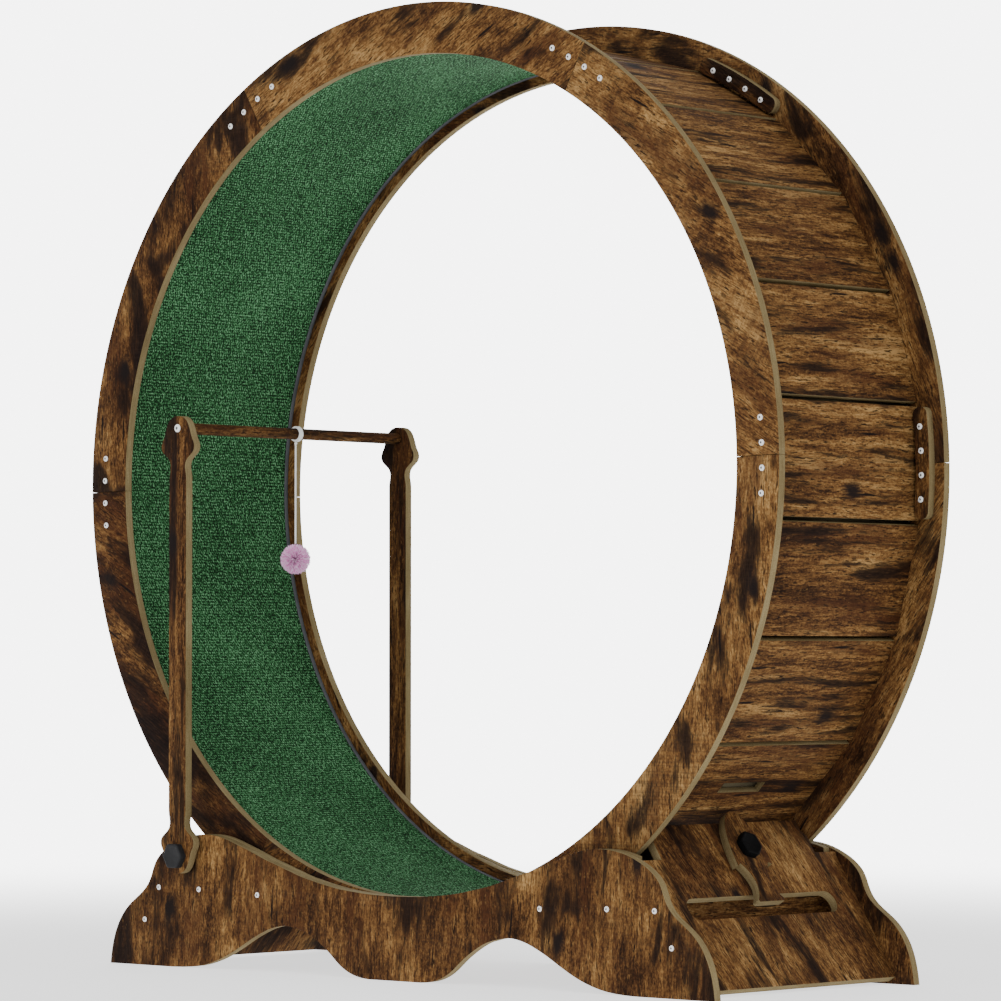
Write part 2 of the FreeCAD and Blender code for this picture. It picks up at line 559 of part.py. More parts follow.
# panel screws
shapes = []
for sy in (-1, 1):
    for sx in (-1, 1):
        for x, z, length in SCREWS:
            outer = num("panel_inner_face") + num("board_thick")
            tip = V(sx * x, sy * (outer - length), z)
            shapes.append(bolt_shape(tip, V(0, sy, 0), num("screw_shank_radius"), length,
                                     num("screw_head_radius"), num("screw_head_height"), False))
f = doc.addObject("Part::Feature", "panel_screws")
f.Shape = Part.makeCompound(shapes)
f.Placement = FreeCAD.Placement()
node(f, "panel_screws")


# ------------------------------------------------------------------ knobs and bolts
def hex_knob(name, at, out, grip, spin=0.0):
    """Hex knob with its bolt: the knob's seat is at 'at', 'out' points away
    from the object, and the shank runs 'grip' the other way."""
    prism = doc.addObject("Part::Prism", name + "_hex")
    prism.Polygon = 6
    bind(prism, Circumradius=cell("knob_flats") + " / 1.7320508", Height=cell("knob_height"))
    shank = bind(doc.addObject("Part::Cylinder", name + "_shank"),
                 Radius=cell("shank_radius"), Height="%.4f + 1" % grip)
    shank.Placement = FreeCAD.Placement(V(0, 0, -grip), Rot())
    fz = doc.addObject("Part::Fuse", name)
    fz.Base, fz.Tool = prism, shank
    z = V(0, 0, 1)
    r = Rot(z, out)
    fz.Placement = FreeCAD.Placement(at, r.multiply(Rot(z, spin)))
    return fz


post_face = D["panel_inner_face"] + D["board_thick"] + D["post_gap"] + D["board_thick"]
for sy, label in ((-1, "front_post_knob"), (1, "rear_post_knob")):
    k = hex_knob(label, V(-D["post_x"], sy * post_face, D["pivot_height"]), V(0, sy, 0), 32.0, 0.0)
    node(k, label)
pawl_at = ref + dn * D["pawl_s"] + V(0, D["pawl_y"], 0)
knob = hex_knob("pawl_knob", pawl_at + nn * (15.0 + D["pawl_gap"]), nn, 27.5, 10.0)
node(knob, "pawl_knob")

# nut behind the end board
np_ = doc.addObject("Part::Prism", "pawl_nut_hex")
np_.Polygon = 6
np_.Circumradius = 7.5
np_.Height = 6.0
nh = bind(doc.addObject("Part::Cylinder", "pawl_nut_hole"), Radius=pin_expr, Height="20")
nh.Placement = FreeCAD.Placement(V(0, 0, -5), Rot())
nut = doc.addObject("Part::Cut", "pawl_nut")
nut.Base, nut.Tool = np_, nh
nut.Placement = FreeCAD.Placement(pawl_at - nn * 11.0, Rot(V(0, 1, 0), 90 - (90 - D["ramp_angle"])))
node(nut, "pawl_nut")

# spacers between the posts and the panels
spacers = []
for sy in (-1, 1):
    o = bind(doc.addObject("Part::Cylinder", "spacer_o_%d" % (sy + 1)), Radius="10", Height=cell("post_gap"))
    i = bind(doc.addObject("Part::Cylinder", "spacer_i_%d" % (sy + 1)), Radius=pin_expr, Height="20")
    i.Placement = FreeCAD.Placement(V(0, 0, -5), Rot())
    c = doc.addObject("Part::Cut", "spacer_%d" % (sy + 1))
    c.Base, c.Tool = o, i
    y = sy * (D["panel_inner_face"] + D["board_thick"])
    c.Placement = FreeCAD.Placement(V(-D["post_x"], y, D["pivot_height"]), Rot(V(1, 0, 0), -90 if sy > 0 else 90))
    spacers.append(c)
comp = doc.addObject("Part::Compound", "post_spacers")
comp.Links = spacers
node(comp, "post_spacers")

# ------------------------------------------------------------------ lock pawl
# outline about its pivot: x down the slope, y as the row's
PAWL = [(-42.2, 0), (-41.2, 4.2), (-37.6, 9.6), (-32, 14.6), (-24, 19.3), (-13, 23.0), (-1, 25.4),
        (10, 26.6), (21.6, 27.2)]
TAIL = [(18.9, 21.8), (23.8, 18.2), (29.8, 14.8), (36, 12.7), (44.3, 11.8), (52.3, 13.8), (57.6, 16.8),
        (62.0, 20.6)]
loop = [("spline", [(s, -y) for s, y in reversed(PAWL[1:])] + PAWL),
        ("line", [PAWL[-1], TAIL[0]]),
        ("spline", TAIL),
        ("line", [TAIL[-1], (64.3, 19.8), (64.3, -19.8), (TAIL[-1][0], -TAIL[-1][1])]),
        ("spline", [(s, -y) for s, y in reversed(TAIL)]),
        ("line", [(TAIL[0][0], -TAIL[0][1]), (PAWL[-1][0], -PAWL[-1][1])])]
pawl = plate_body("lock_pawl", "XY_Plane", loop, cell("board_thick"), [(0.0, 0.0, pin_expr, pin_val)])
pawl.Placement = FreeCAD.Placement(pawl_at + nn * (5.0 + D["pawl_gap"]), Rot(V(0, 1, 0), D["ramp_angle"]))
node(pawl, "lock_pawl")

# ------------------------------------------------------------------ teaser frame
# post outline as (half width, distance from the end), the same at both ends
END = [(0, 0), (4.4, 0.35), (8.2, 1.5), (12.4, 4.2), (15.4, 7.8), (17.4, 11.8), (19.2, 16.2), (20.6, 20.6),
       (22.4, 25.0), (24.4, 28.4), (25.6, 32.0), (25.4, 36.2), (23.2, 40.0), (19.4, 43.2), (15.6, 46.2),
       (13.0, 49.2), (11.7, 52.6), (11.4, 56.4), (11.9, 60.2), (12.8, 64.0), (13.2, 67.6), (13.25, 72.0)]
zt, zb = D["post_top"], D["post_bottom"]
right = [(w, zt - e) for w, e in END]
top_spline = [(-w, z) for w, z in reversed(right[1:])] + right
rightb = [(w, zb + e) for w, e in END]
bot_spline = [(w, z) for w, z in reversed(rightb[1:])] + [(-w, z) for w, z in rightb]
post_loop = [("spline", top_spline), ("line", [top_spline[-1], bot_spline[0]]),
             ("spline", bot_spline), ("line", [bot_spline[-1], top_spline[0]])]
screw_expr = "2.5 + " + cell("hole_play")
for sy, label in ((-1, "front_post"), (1, "rear_post")):
    b = plate_body(label, "XZ_Plane", post_loop, cell("board_thick"),
                   [(0.0, D["pivot_height"], pin_expr, pin_val),
                    (0.0, D["rod_height"], screw_expr, 2.5 + D["hole_play"])])
    b.setExpression("Placement.Base.x", "-" + cell("post_x"))
    if sy < 0:
        b.setExpression("Placement.Base.y", "-(%s + %s + %s)" % (cell("panel_inner_face"), cell("board_thick"), cell("post_gap")))
    else:
        b.setExpression("Placement.Base.y", "%s + 2 * %s + %s" % (cell("panel_inner_face"), cell("board_thick"), cell("post_gap")))
    node(b, label)

rod_half = D["panel_inner_face"] + D["board_thick"] + D["post_gap"]
rod_o = bind(doc.addObject("Part::Cylinder", "rod_bar"), Radius=cell("rod_radius"),
             Height="2 * (%s + %s + %s)" % (cell("panel_inner_face"), cell("board_thick"), cell("post_gap")))
rh = []
for j, z0 in enumerate((-1.0, 2 * rod_half - 22.0)):
    c = bind(doc.addObject("Part::Cylinder", "rod_pilot_%d" % j), Radius=screw_expr, Height="23")
    c.Placement = FreeCAD.Placement(V(0, 0, z0), Rot())
    rh.append(c)
rc = doc.addObject("Part::Compound", "rod_pilots")
rc.Links = rh
rod = doc.addObject("Part::Cut", "teaser_rod")
rod.Base, rod.Tool = rod_o, rc
rod.Placement = FreeCAD.Placement(V(-D["post_x"], -rod_half, D["rod_height"]), Rot(V(1, 0, 0), -90))
node(rod, "teaser_rod")
shapes = []
for sy in (-1, 1):
    y_in = sy * (rod_half - 20.0)
    shapes.append(bolt_shape(V(-num("post_x"), y_in, num("rod_height")), V(0, sy, 0), 2.5, 30.0, 4.4, 1.6, False))
f = doc.addObject("Part::Feature", "rod_screws")
f.Shape = Part.makeCompound(shapes)
f.Placement = FreeCAD.Placement()
node(f, "rod_screws")

# slide ring on the rod
bo = bind(doc.addObject("Part::Cylinder", "band_o"), Radius=cell("band_outer_radius"), Height=cell("band_width"))
bi = bind(doc.addObject("Part::Cylinder", "band_i"), Radius=cell("band_inner_radius"), Height="20")
bi.Placement = FreeCAD.Placement(V(0, 0, -5), Rot())
band = doc.addObject("Part::Cut", "slide_ring")
band.Base, band.Tool = bo, bi
band.Placement = FreeCAD.Placement(V(-D["post_x"], D["band_y"] - D["band_width"] / 2, D["rod_height"]),
                                   Rot(V(1, 0, 0), -90))
node(band, "slide_ring")

# string: one straight run from the slide ring to the flat on the pompom
POM_CUT = 84.0
pom_top = D["pompom_z"] + D["pompom_radius"] * math.sin(math.radians(POM_CUT))
st = bind(doc.addObject("Part::Cylinder", "teaser_string"), Radius=cell("string_radius"),
          Height="%s - %s - %s * %.12f" % (cell("string_top"), cell("pompom_z"), cell("pompom_radius"),
                                           math.sin(math.radians(POM_CUT))))
st.Placement = FreeCAD.Placement(V(-D["post_x"], D["string_y"], pom_top), Rot())
node(st, "teaser_string")
# pompom: a ball with a small flat where the string enters
ball = bind(doc.addObject("Part::Sphere", "pompom_ball"), Radius=cell("pompom_radius"))
ball.Angle2 = POM_CUT
ball.Placement = FreeCAD.Placement(V(-D["post_x"], D["string_y"], D["pompom_z"]), Rot())
node(ball, "pompom")

# ------------------------------------------------------------------ check and write
doc.recompute()
for o in doc.Objects:
    st_ = [s for s in o.State if s in ("Invalid", "Error")]
    if st_:
        raise RuntimeError("%s failed: %s" % (o.Name, st_))
for label, obj in NODES:
    s = obj.Shape
    if s.isNull() or not s.isValid() or s.Volume <= 0:
        raise RuntimeError(label + ": bad shape")
if len({l for l, _ in NODES}) != len(NODES):
    raise RuntimeError("a label is used twice")
for label, obj in NODES:
    obj.Shape.exportStep(os.path.join("parts", label + ".step"))
bb = FreeCAD.BoundBox()
for label, obj in NODES:
    bb.add(obj.Shape.BoundBox)
print("nodes", len(NODES), "box", [round(v, 2) for v in (bb.XMin, bb.XMax, bb.YMin, bb.YMax, bb.ZMin, bb.ZMax)])
s = dict(NODES)["teaser_string"].Shape
print("string volume", round(s.Volume, 2), "section x length",
      round(math.pi * D["string_radius"] ** 2 * (D["string_top"] - pom_top), 2))
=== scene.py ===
import bpy
import bmesh
import json
import math
import random
import numpy as np
from mathutils import Vector, Matrix
from mathutils.geometry import tessellate_polygon

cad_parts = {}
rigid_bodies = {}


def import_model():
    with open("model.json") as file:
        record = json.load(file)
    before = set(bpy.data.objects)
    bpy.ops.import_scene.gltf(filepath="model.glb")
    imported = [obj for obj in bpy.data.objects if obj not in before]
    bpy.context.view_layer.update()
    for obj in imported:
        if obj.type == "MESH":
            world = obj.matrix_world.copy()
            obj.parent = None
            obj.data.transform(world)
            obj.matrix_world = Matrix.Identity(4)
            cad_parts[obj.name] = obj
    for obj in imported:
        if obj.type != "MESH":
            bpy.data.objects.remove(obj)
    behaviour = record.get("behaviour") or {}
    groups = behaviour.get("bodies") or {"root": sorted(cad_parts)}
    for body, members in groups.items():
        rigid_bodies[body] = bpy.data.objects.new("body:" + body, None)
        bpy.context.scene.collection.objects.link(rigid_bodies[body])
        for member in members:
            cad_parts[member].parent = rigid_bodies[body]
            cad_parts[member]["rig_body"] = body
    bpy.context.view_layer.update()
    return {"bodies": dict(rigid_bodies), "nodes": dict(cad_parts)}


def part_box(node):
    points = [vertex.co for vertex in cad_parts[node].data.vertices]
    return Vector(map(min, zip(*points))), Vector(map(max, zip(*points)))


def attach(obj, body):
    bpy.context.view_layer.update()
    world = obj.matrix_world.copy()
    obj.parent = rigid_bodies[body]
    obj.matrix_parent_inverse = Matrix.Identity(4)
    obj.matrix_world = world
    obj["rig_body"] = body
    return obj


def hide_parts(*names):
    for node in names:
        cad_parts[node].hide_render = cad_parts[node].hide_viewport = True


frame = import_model()
NODES = frame["nodes"]
BODIES = frame["bodies"]
BODY_OF = {n: o["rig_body"] for n, o in NODES.items()}
COL = bpy.context.scene.collection
MM = 0.001
AXIS_Z = 0.5319          # the wheel's axis above the floor


# ------------------------------------------------------------------ camera
cam_data = bpy.data.cameras.new("camera")
cam = bpy.data.objects.new("camera", cam_data)
COL.objects.link(cam)
cam_data.sensor_width = 36.0
cam_data.lens = 4702.2533 / 1001.0 * 36.0
cam_data.clip_start, cam_data.clip_end = 0.1, 200.0
YAW, PITCH = 0.7460, 0.0332
cam.location = (3.43665, -3.7196, 0.3399)
look = Vector((-math.sin(YAW) * math.cos(PITCH), math.cos(YAW) * math.cos(PITCH), math.sin(PITCH)))
cam.rotation_mode = "QUATERNION"
cam.rotation_quaternion = look.to_track_quat("-Z", "Y")
bpy.context.scene.camera = cam


# ------------------------------------------------------------------ materials
class G:
    """A small helper round one material's nodes."""

    def __init__(self, name):
        self.m = bpy.data.materials.new(name)
        self.m.use_nodes = True
        self.t = self.m.node_tree
        self.t.nodes.clear()
        self.out = self.t.nodes.new("ShaderNodeOutputMaterial")
        self.b = self.t.nodes.new("ShaderNodeBsdfPrincipled")
        self.t.links.new(self.b.outputs[0], self.out.inputs[0])

    def put(self, value, socket):
        if hasattr(value, "is_output"):
            self.t.links.new(value, socket)
        else:
            socket.default_value = value

    def shader(self, **kw):
        for k, v in kw.items():
            self.put(v, self.b.inputs[k.replace("_", " ")])
        return self

    def attr(self, name, out="Vector"):
        n = self.t.nodes.new("ShaderNodeAttribute")
        n.attribute_name = name
        return n.outputs[out]

    def vec(self, op, a, b):
        n = self.t.nodes.new("ShaderNodeVectorMath")
        n.operation = op
        self.put(a, n.inputs[0])
        self.put(b, n.inputs[1])
        return n.outputs[0]

    def math(self, op, a, b=0.0, c=0.0, clamp=False):
        n = self.t.nodes.new("ShaderNodeMath")
        n.operation = op
        n.use_clamp = clamp
        self.put(a, n.inputs[0])
        self.put(b, n.inputs[1])
        self.put(c, n.inputs[2])
        return n.outputs[0]

    def noise(self, vector, scale, detail=4.0, rough=0.55, dist=0.0, out="Fac"):
        n = self.t.nodes.new("ShaderNodeTexNoise")
        self.put(vector, n.inputs["Vector"])
        n.inputs["Scale"].default_value = scale
        n.inputs["Detail"].default_value = detail
        n.inputs["Roughness"].default_value = rough
        n.inputs["Distortion"].default_value = dist
        return n.outputs[out]

    def voronoi(self, vector, scale, out="Distance", feature="F1", rnd=1.0):
        n = self.t.nodes.new("ShaderNodeTexVoronoi")
        n.feature = feature
        self.put(vector, n.inputs["Vector"])
        n.inputs["Scale"].default_value = scale
        n.inputs["Randomness"].default_value = rnd
        return n.outputs[out]

    def wave(self, vector, scale, dist=0.0, detail=0.0, direction="X"):
        n = self.t.nodes.new("ShaderNodeTexWave")
        n.bands_direction = direction
        self.put(vector, n.inputs["Vector"])
        n.inputs["Scale"].default_value = scale
        n.inputs["Distortion"].default_value = dist
        n.inputs["Detail"].default_value = detail
        return n.outputs["Fac"]

    def ramp(self, fac, stops):
        n = self.t.nodes.new("ShaderNodeValToRGB")
        self.put(fac, n.inputs[0])
        e = n.color_ramp.elements
        while len(e) < len(stops):
            e.new(0.5)
        for k, (pos, colour) in enumerate(stops):
            e[k].position = pos
            if not hasattr(colour, "__len__"):
                colour = (colour,) * 3
            e[k].color = (*colour, 1.0)
        return n.outputs[0]

    def mix(self, fac, a, b, blend="MIX"):
        n = self.t.nodes.new("ShaderNodeMix")
        n.data_type = "RGBA"
        n.blend_type = blend
        self.put(fac, n.inputs[0])
        self.put(a if hasattr(a, "is_output") else (*a, 1.0), n.inputs[6])
        self.put(b if hasattr(b, "is_output") else (*b, 1.0), n.inputs[7])
        return n.outputs[2]

    def bump(self, height, strength, distance):
        n = self.t.nodes.new("ShaderNodeBump")
        n.inputs["Strength"].default_value = strength
        n.inputs["Distance"].default_value = distance
        self.put(height, n.inputs["Height"])
        self.put(n.outputs[0], self.b.inputs["Normal"])
        return n


def wood(name, dark=0.0, streaky=1.0, saw=0.0, cloud=(8.0, 17.0), tint=1.0, gloss=0.5):
    """Rustic printed wood.  'gr' holds metres along, across and through the grain."""
    g = G(name)
    p = g.attr("gr")
    tone = g.attr("tone", "Fac")
    w = g.noise(g.vec("MULTIPLY", p, (7.0, 13.0, 13.0)), 1.0, 3.0, 0.5, out="Color")
    w = g.vec("MULTIPLY", g.vec("SUBTRACT", w, (0.5, 0.5, 0.5)), (0.0, 0.014, 0.008))
    q = g.vec("ADD", p, w)
    fine = g.noise(g.vec("MULTIPLY", q, (60.0, 600.0, 600.0)), 1.0, 5.0, 0.72)
    mid = g.noise(g.vec("MULTIPLY", q, (14.0, 150.0, 150.0)), 1.0, 5.0, 0.66)
    cloudn = g.noise(g.vec("MULTIPLY", q, (cloud[0], cloud[1], cloud[1])), 1.0, 6.0, 0.68, 0.25)
    red = g.noise(g.vec("MULTIPLY", q, (5.0, 30.0, 30.0)), 1.0, 4.0, 0.55, 0.2)
    mottle = g.noise(g.vec("MULTIPLY", q, (cloud[0] * 6.0, cloud[1] * 5.2, cloud[1] * 5.2)), 1.0, 6.0, 0.72)
    speck = g.noise(g.vec("MULTIPLY", q, (300.0, 520.0, 520.0)), 1.0, 3.0, 0.65)
    body = g.math("ADD", g.math("MULTIPLY", cloudn, 0.46), g.math("MULTIPLY", mid, 0.22 * streaky))
    body = g.math("ADD", body, g.math("MULTIPLY", fine, 0.26))
    body = g.math("ADD", body, g.math("MULTIPLY", mottle, 0.34))
    body = g.math("ADD", body, g.math("MULTIPLY", speck, 0.26))
    body = g.math("ADD", body, tone)
    k = 0.5 * (0.46 + 0.22 * streaky + 0.26 + 0.34 + 0.26)
    base = g.ramp(body, [(k - 0.120, (0.0120 * tint, 0.0050 * tint, 0.0023 * tint)),
                         (k - 0.052, (0.0435 * tint, 0.0185 * tint, 0.0070 * tint)),
                         (k + 0.005, (0.0980 * tint, 0.0440 * tint, 0.0145 * tint)),
                         (k + 0.062, (0.1780 * tint, 0.0900 * tint, 0.0290 * tint)),
                         (k + 0.140, (0.3150 * tint, 0.1850 * tint, 0.0700 * tint))])
    # reddish stretches
    base = g.mix(g.ramp(red, [(0.50, 0.0), (0.64, 0.60)]), base, (0.0520 * tint, 0.0185 * tint, 0.0075 * tint))
    # dark smears with streaky, ragged borders
    sm = g.noise(g.vec("MULTIPLY", g.vec("ADD", q, (3.7, 1.9, 5.3)), (cloud[0] * 1.15, cloud[1] * 1.30, cloud[1] * 1.3)),
                 1.0, 4.0, 0.55, 0.45)
    sm = g.math("ADD", sm, g.math("MULTIPLY", g.math("SUBTRACT", mid, 0.5), 0.42 * streaky))
    sm = g.math("ADD", sm, g.math("MULTIPLY", g.math("SUBTRACT", fine, 0.5), 0.30))
    sm = g.math("ADD", sm, g.math("MULTIPLY", g.math("SUBTRACT", speck, 0.5), 0.18))
    sm = g.math("SUBTRACT", sm, tone)
    dark_f = g.ramp(sm, [(0.520 - dark, 0.0), (0.560 - dark, 0.70), (0.625 - dark, 0.95)])
    dark_c = g.ramp(fine, [(0.38, (0.0034, 0.0021, 0.0020)), (0.56, (0.0120, 0.0062, 0.0045)),
                           (0.72, (0.0400, 0.0185, 0.0085))])
    col = g.mix(dark_f, base, dark_c)
    # fine dark pores and light flecks
    pore = g.noise(g.vec("MULTIPLY", q, (95.0, 560.0, 560.0)), 1.0, 2.0, 0.5)
    pore_area = g.ramp(mottle, [(0.38, 0.35), (0.60, 0.95)])
    pore_f = g.math("MULTIPLY", g.ramp(pore, [(0.55, 0.0), (0.62, 1.0)]), pore_area)
    col = g.mix(pore_f, col, (0.0085, 0.0042, 0.0028))
    fleck = g.noise(g.vec("MULTIPLY", g.vec("ADD", q, (7.1, 0.7, 2.9)), (150.0, 300.0, 300.0)), 1.0, 3.0, 0.6)
    fleck_f = g.math("MULTIPLY", g.ramp(fleck, [(0.60, 0.0), (0.70, 0.30)]), g.math("SUBTRACT", 1.0, dark_f))
    col = g.mix(fleck_f, col, (0.2700 * tint, 0.1450 * tint, 0.0480 * tint))
    # short black slits, a few on each board
    v = g.t.nodes.new("ShaderNodeTexVoronoi")
    v.voronoi_dimensions = "2D"
    v.feature = "F1"
    v.inputs["Scale"].default_value = 1.0
    g.t.links.new(g.vec("MULTIPLY", q, (8.0, 95.0, 0.0)), v.inputs["Vector"])
    sep = g.t.nodes.new("ShaderNodeSeparateColor")
    g.t.links.new(v.outputs["Color"], sep.inputs[0])
    chosen = g.math("GREATER_THAN", sep.outputs[0], 0.90)
    slit_d = g.math("ADD", v.outputs["Distance"], g.math("MULTIPLY", g.math("SUBTRACT", fine, 0.5), 0.14))
    slit_f = g.math("MULTIPLY", g.ramp(slit_d, [(0.085, 0.95), (0.150, 0.0)]), chosen)
    col = g.mix(slit_f, col, (0.0050, 0.0035, 0.0035))
    # knots
    kn = g.t.nodes.new("ShaderNodeTexVoronoi")
    kn.voronoi_dimensions = "2D"
    kn.feature = "F1"
    kn.inputs["Scale"].default_value = 1.0
    g.t.links.new(g.vec("MULTIPLY", q, (7.0, 12.0, 0.0)), kn.inputs["Vector"])
    ks = g.t.nodes.new("ShaderNodeSeparateColor")
    g.t.links.new(kn.outputs["Color"], ks.inputs[0])
    kd = g.math("ADD", kn.outputs["Distance"], g.math("MULTIPLY", g.math("SUBTRACT", mottle, 0.5), 0.16))
    knot_f = g.math("MULTIPLY", g.ramp(kd, [(0.045, 0.95), (0.145, 0.0)]), g.math("GREATER_THAN", ks.outputs[1], 0.62))
    col = g.mix(knot_f, col, (0.0085, 0.0058, 0.0055))
    if saw > 0:
        line = g.noise(g.vec("MULTIPLY", g.vec("ADD", p, g.vec("MULTIPLY", w, (0.4, 0.1, 0.1))), (520.0, 10.0, 10.0)),
                       1.0, 2.0, 0.5)
        where = g.ramp(g.noise(g.vec("ADD", p, (1.1, 7.7, 2.2)), 11.0, 2.0, 0.5), [(0.46, 0.0), (0.60, saw)])
        col = g.mix(g.math("MULTIPLY", g.ramp(line, [(0.40, 1.0), (0.52, 0.0)]), where), col,
                    (0.0260, 0.0140, 0.0090))
    rough = g.ramp(mid, [(0.3, gloss + 0.14), (0.7, gloss + 0.26)])
    g.shader(Base_Color=col, Roughness=rough)
    g.b.inputs["Specular IOR Level"].default_value = 0.045
    height = g.math("SUBTRACT", g.math("MULTIPLY", fine, 0.6), g.math("ADD", pore_f, slit_f))
    g.bump(height, 0.35, 0.00020)
    return g.m


def board_edge(name):
    """Sawn edge of the pressed board: tan, with fine fibres."""
    g = G(name)
    p = g.attr("gr")
    big = g.noise(g.vec("MULTIPLY", p, (9.0, 9.0, 9.0)), 1.0, 3.0, 0.5)
    grit = g.noise(g.vec("MULTIPLY", p, (700.0, 700.0, 1500.0)), 1.0, 3.0, 0.65)
    layer = g.noise(g.vec("MULTIPLY", p, (40.0, 40.0, 900.0)), 1.0, 2.0, 0.5)
    v = g.math("ADD", g.math("MULTIPLY", big, 0.35), g.math("MULTIPLY", grit, 0.40))
    v = g.math("ADD", v, g.math("MULTIPLY", layer, 0.25))
    col = g.ramp(v, [(0.38, (0.116, 0.083, 0.036)), (0.50, (0.178, 0.134, 0.063)),
                     (0.62, (0.252, 0.198, 0.104))])
    g.shader(Base_Color=col, Roughness=0.82)
    g.b.inputs["Specular IOR Level"].default_value = 0.08
    g.bump(grit, 0.4, 0.0002)
    return g.m


WOOD_RING = wood("wood_ring", 0.0, 0.8, 0.30, (9.0, 17.0))
WOOD_PANEL = wood("wood_panel", 0.0, 1.0, 0.20, (7.0, 18.0))
WOOD_PLANK = wood("wood_plank", -0.008, 1.55, 0.0, (3.6, 34.0))
EDGE = board_edge("board_edge")


def pile_material():
    g = G("mat_pile")
    p = g.attr("gr")                 # metres round, across, depth of pile (1 at the tips)
    tip = g.attr("tip", "Fac")
    row = g.vec("MULTIPLY", p, (1.0, 1.0, 1.0))
    cell = g.noise(g.vec("MULTIPLY", row, (520.0, 440.0, 440.0)), 1.0, 3.0, 0.6)
    fine = g.noise(g.vec("MULTIPLY", row, (1500.0, 1200.0, 1200.0)), 1.0, 2.0, 0.6)
    wide = g.noise(row, 7.0, 2.0, 0.5)
    v = g.math("ADD", g.math("MULTIPLY", cell, 0.85), g.math("MULTIPLY", fine, 0.15))
    v = g.math("ADD", v, g.math("MULTIPLY", g.math("SUBTRACT", wide, 0.5), 0.10))
    # loops lower in the pile, and the rim rows at height 0, are darker: painted shade down between the loops
    v = g.math("ADD", v, g.math("MULTIPLY", g.math("SUBTRACT", tip, 0.5), 0.24))
    col = g.ramp(v, [(0.385, (0.0011, 0.0055, 0.0019)), (0.447, (0.0120, 0.0520, 0.0165)),
                     (0.515, (0.0440, 0.1480, 0.0560)), (0.60, (0.1450, 0.3200, 0.1650))])
    g.shader(Base_Color=col, Roughness=0.95)
    g.b.inputs["Specular IOR Level"].default_value = 0.1
    g.b.inputs["Sheen Weight"].default_value = 0.0
    g.b.inputs["Sheen Roughness"].default_value = 0.6
    g.b.inputs["Sheen Tint"].default_value = (0.55, 0.85, 0.60, 1.0)
    g.bump(g.math("ADD", g.math("MULTIPLY", cell, 0.7), g.math("MULTIPLY", fine, 0.3)), 0.9, 0.0012)
    return g.m


def simple(name, colour, rough, metal=0.0, spec=0.5, grain=900.0, vary=0.12, bump=0.15, dist=0.0001):
    """A plain moulded, painted or metal finish with a fine uneven surface."""
    g = G(name)
    c = g.t.nodes.new("ShaderNodeTexCoord").outputs["Object"]
    n = g.noise(c, grain, 3.0, 0.6)
    big = g.noise(c, 35.0, 3.0, 0.5)
    lo = tuple(x * (1 - vary) for x in colour)
    hi = tuple(min(1.0, x * (1 + vary)) for x in colour)
    col = g.ramp(g.math("ADD", g.math("MULTIPLY", n, 0.5), g.math("MULTIPLY", big, 0.5)), [(0.35, lo), (0.65, hi)])
    r = g.ramp(big, [(0.35, max(0.0, rough - 0.06)), (0.65, min(1.0, rough + 0.06))])
    g.shader(Base_Color=col, Roughness=r, Metallic=metal)
    g.b.inputs["Specular IOR Level"].default_value = spec
    g.bump(n, bump, dist)
    return g.m


M_PILE = pile_material()
M_BACKING = simple("mat_backing", (0.070, 0.058, 0.034), 0.95, spec=0.05, grain=1400, vary=0.35, bump=0.8, dist=0.0005)
M_BINDING = simple("mat_binding", (0.085, 0.088, 0.098), 0.9, spec=0.15, grain=1500, vary=0.3, bump=0.9, dist=0.0004)
M_WHITE = simple("white_enamel", (0.80, 0.80, 0.79), 0.34, vary=0.04)
M_SOCKET = simple("socket_grey", (0.20, 0.20, 0.21), 0.45, metal=0.6)
M_BLACK = simple("black_plastic", (0.010, 0.0105, 0.0115), 0.50, spec=0.25, vary=0.2, bump=0.3)
M_KNOB = simple("knob_plastic", (0.0115, 0.0117, 0.0128), 0.55, spec=0.16, vary=0.2, bump=0.35)
# a darker copy of knob_plastic for the lock knob: painted shade, as this knob faces the key lamp
M_KNOB_PAINTED_SHADE = simple("lock_knob_plastic_painted_shade", (0.0028, 0.0028, 0.0030), 0.60, spec=0.05, vary=0.2, bump=0.35)
M_BRACKET = simple("bracket_coat", (0.007, 0.007, 0.008), 0.55, spec=0.2, vary=0.25, bump=0.5, dist=0.0002)
M_STEEL = simple("bright_steel", (0.55, 0.55, 0.56), 0.30, metal=1.0, vary=0.08)
M_NYLON = simple("white_nylon", (0.78, 0.78, 0.76), 0.45, vary=0.03)
M_STRING = simple("cotton_string", (0.80, 0.79, 0.76), 0.9, spec=0.1, grain=2600, vary=0.08, bump=0.6, dist=0.0002)


# ------------------------------------------------------------------ mesh helpers
def new_object(name, verts, faces, mats, face_mats=None, smooth=None, attrs=None, sharp=35.0):
    me = bpy.data.meshes.new(name)
    me.from_pydata([tuple(v) for v in verts], [], [tuple(f) for f in faces])
    for m in mats:
        me.materials.append(m)
    if face_mats is not None:
        me.polygons.foreach_set("material_index", np.array(face_mats, np.int32))
    if smooth is None:
        smooth = np.ones(len(me.polygons), bool)
    me.polygons.foreach_set("use_smooth", np.array(smooth, bool))
    for key, (kind, data) in (attrs or {}).items():
        a = me.attributes.new(key, kind, "POINT")
        if kind == "FLOAT":
            a.data.foreach_set("value", np.array(data, np.float32).ravel())
        else:
            a.data.foreach_set("vector", np.array(data, np.float32).ravel())
    me.update()
    if sharp:
        me.set_sharp_from_angle(angle=math.radians(sharp))
    o = bpy.data.objects.new(name, me)
    COL.objects.link(o)
    return o


def finish_piece(obj, node=None, body=None):
    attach(obj, body or BODY_OF[node])
    if node:
        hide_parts(node)
    return obj


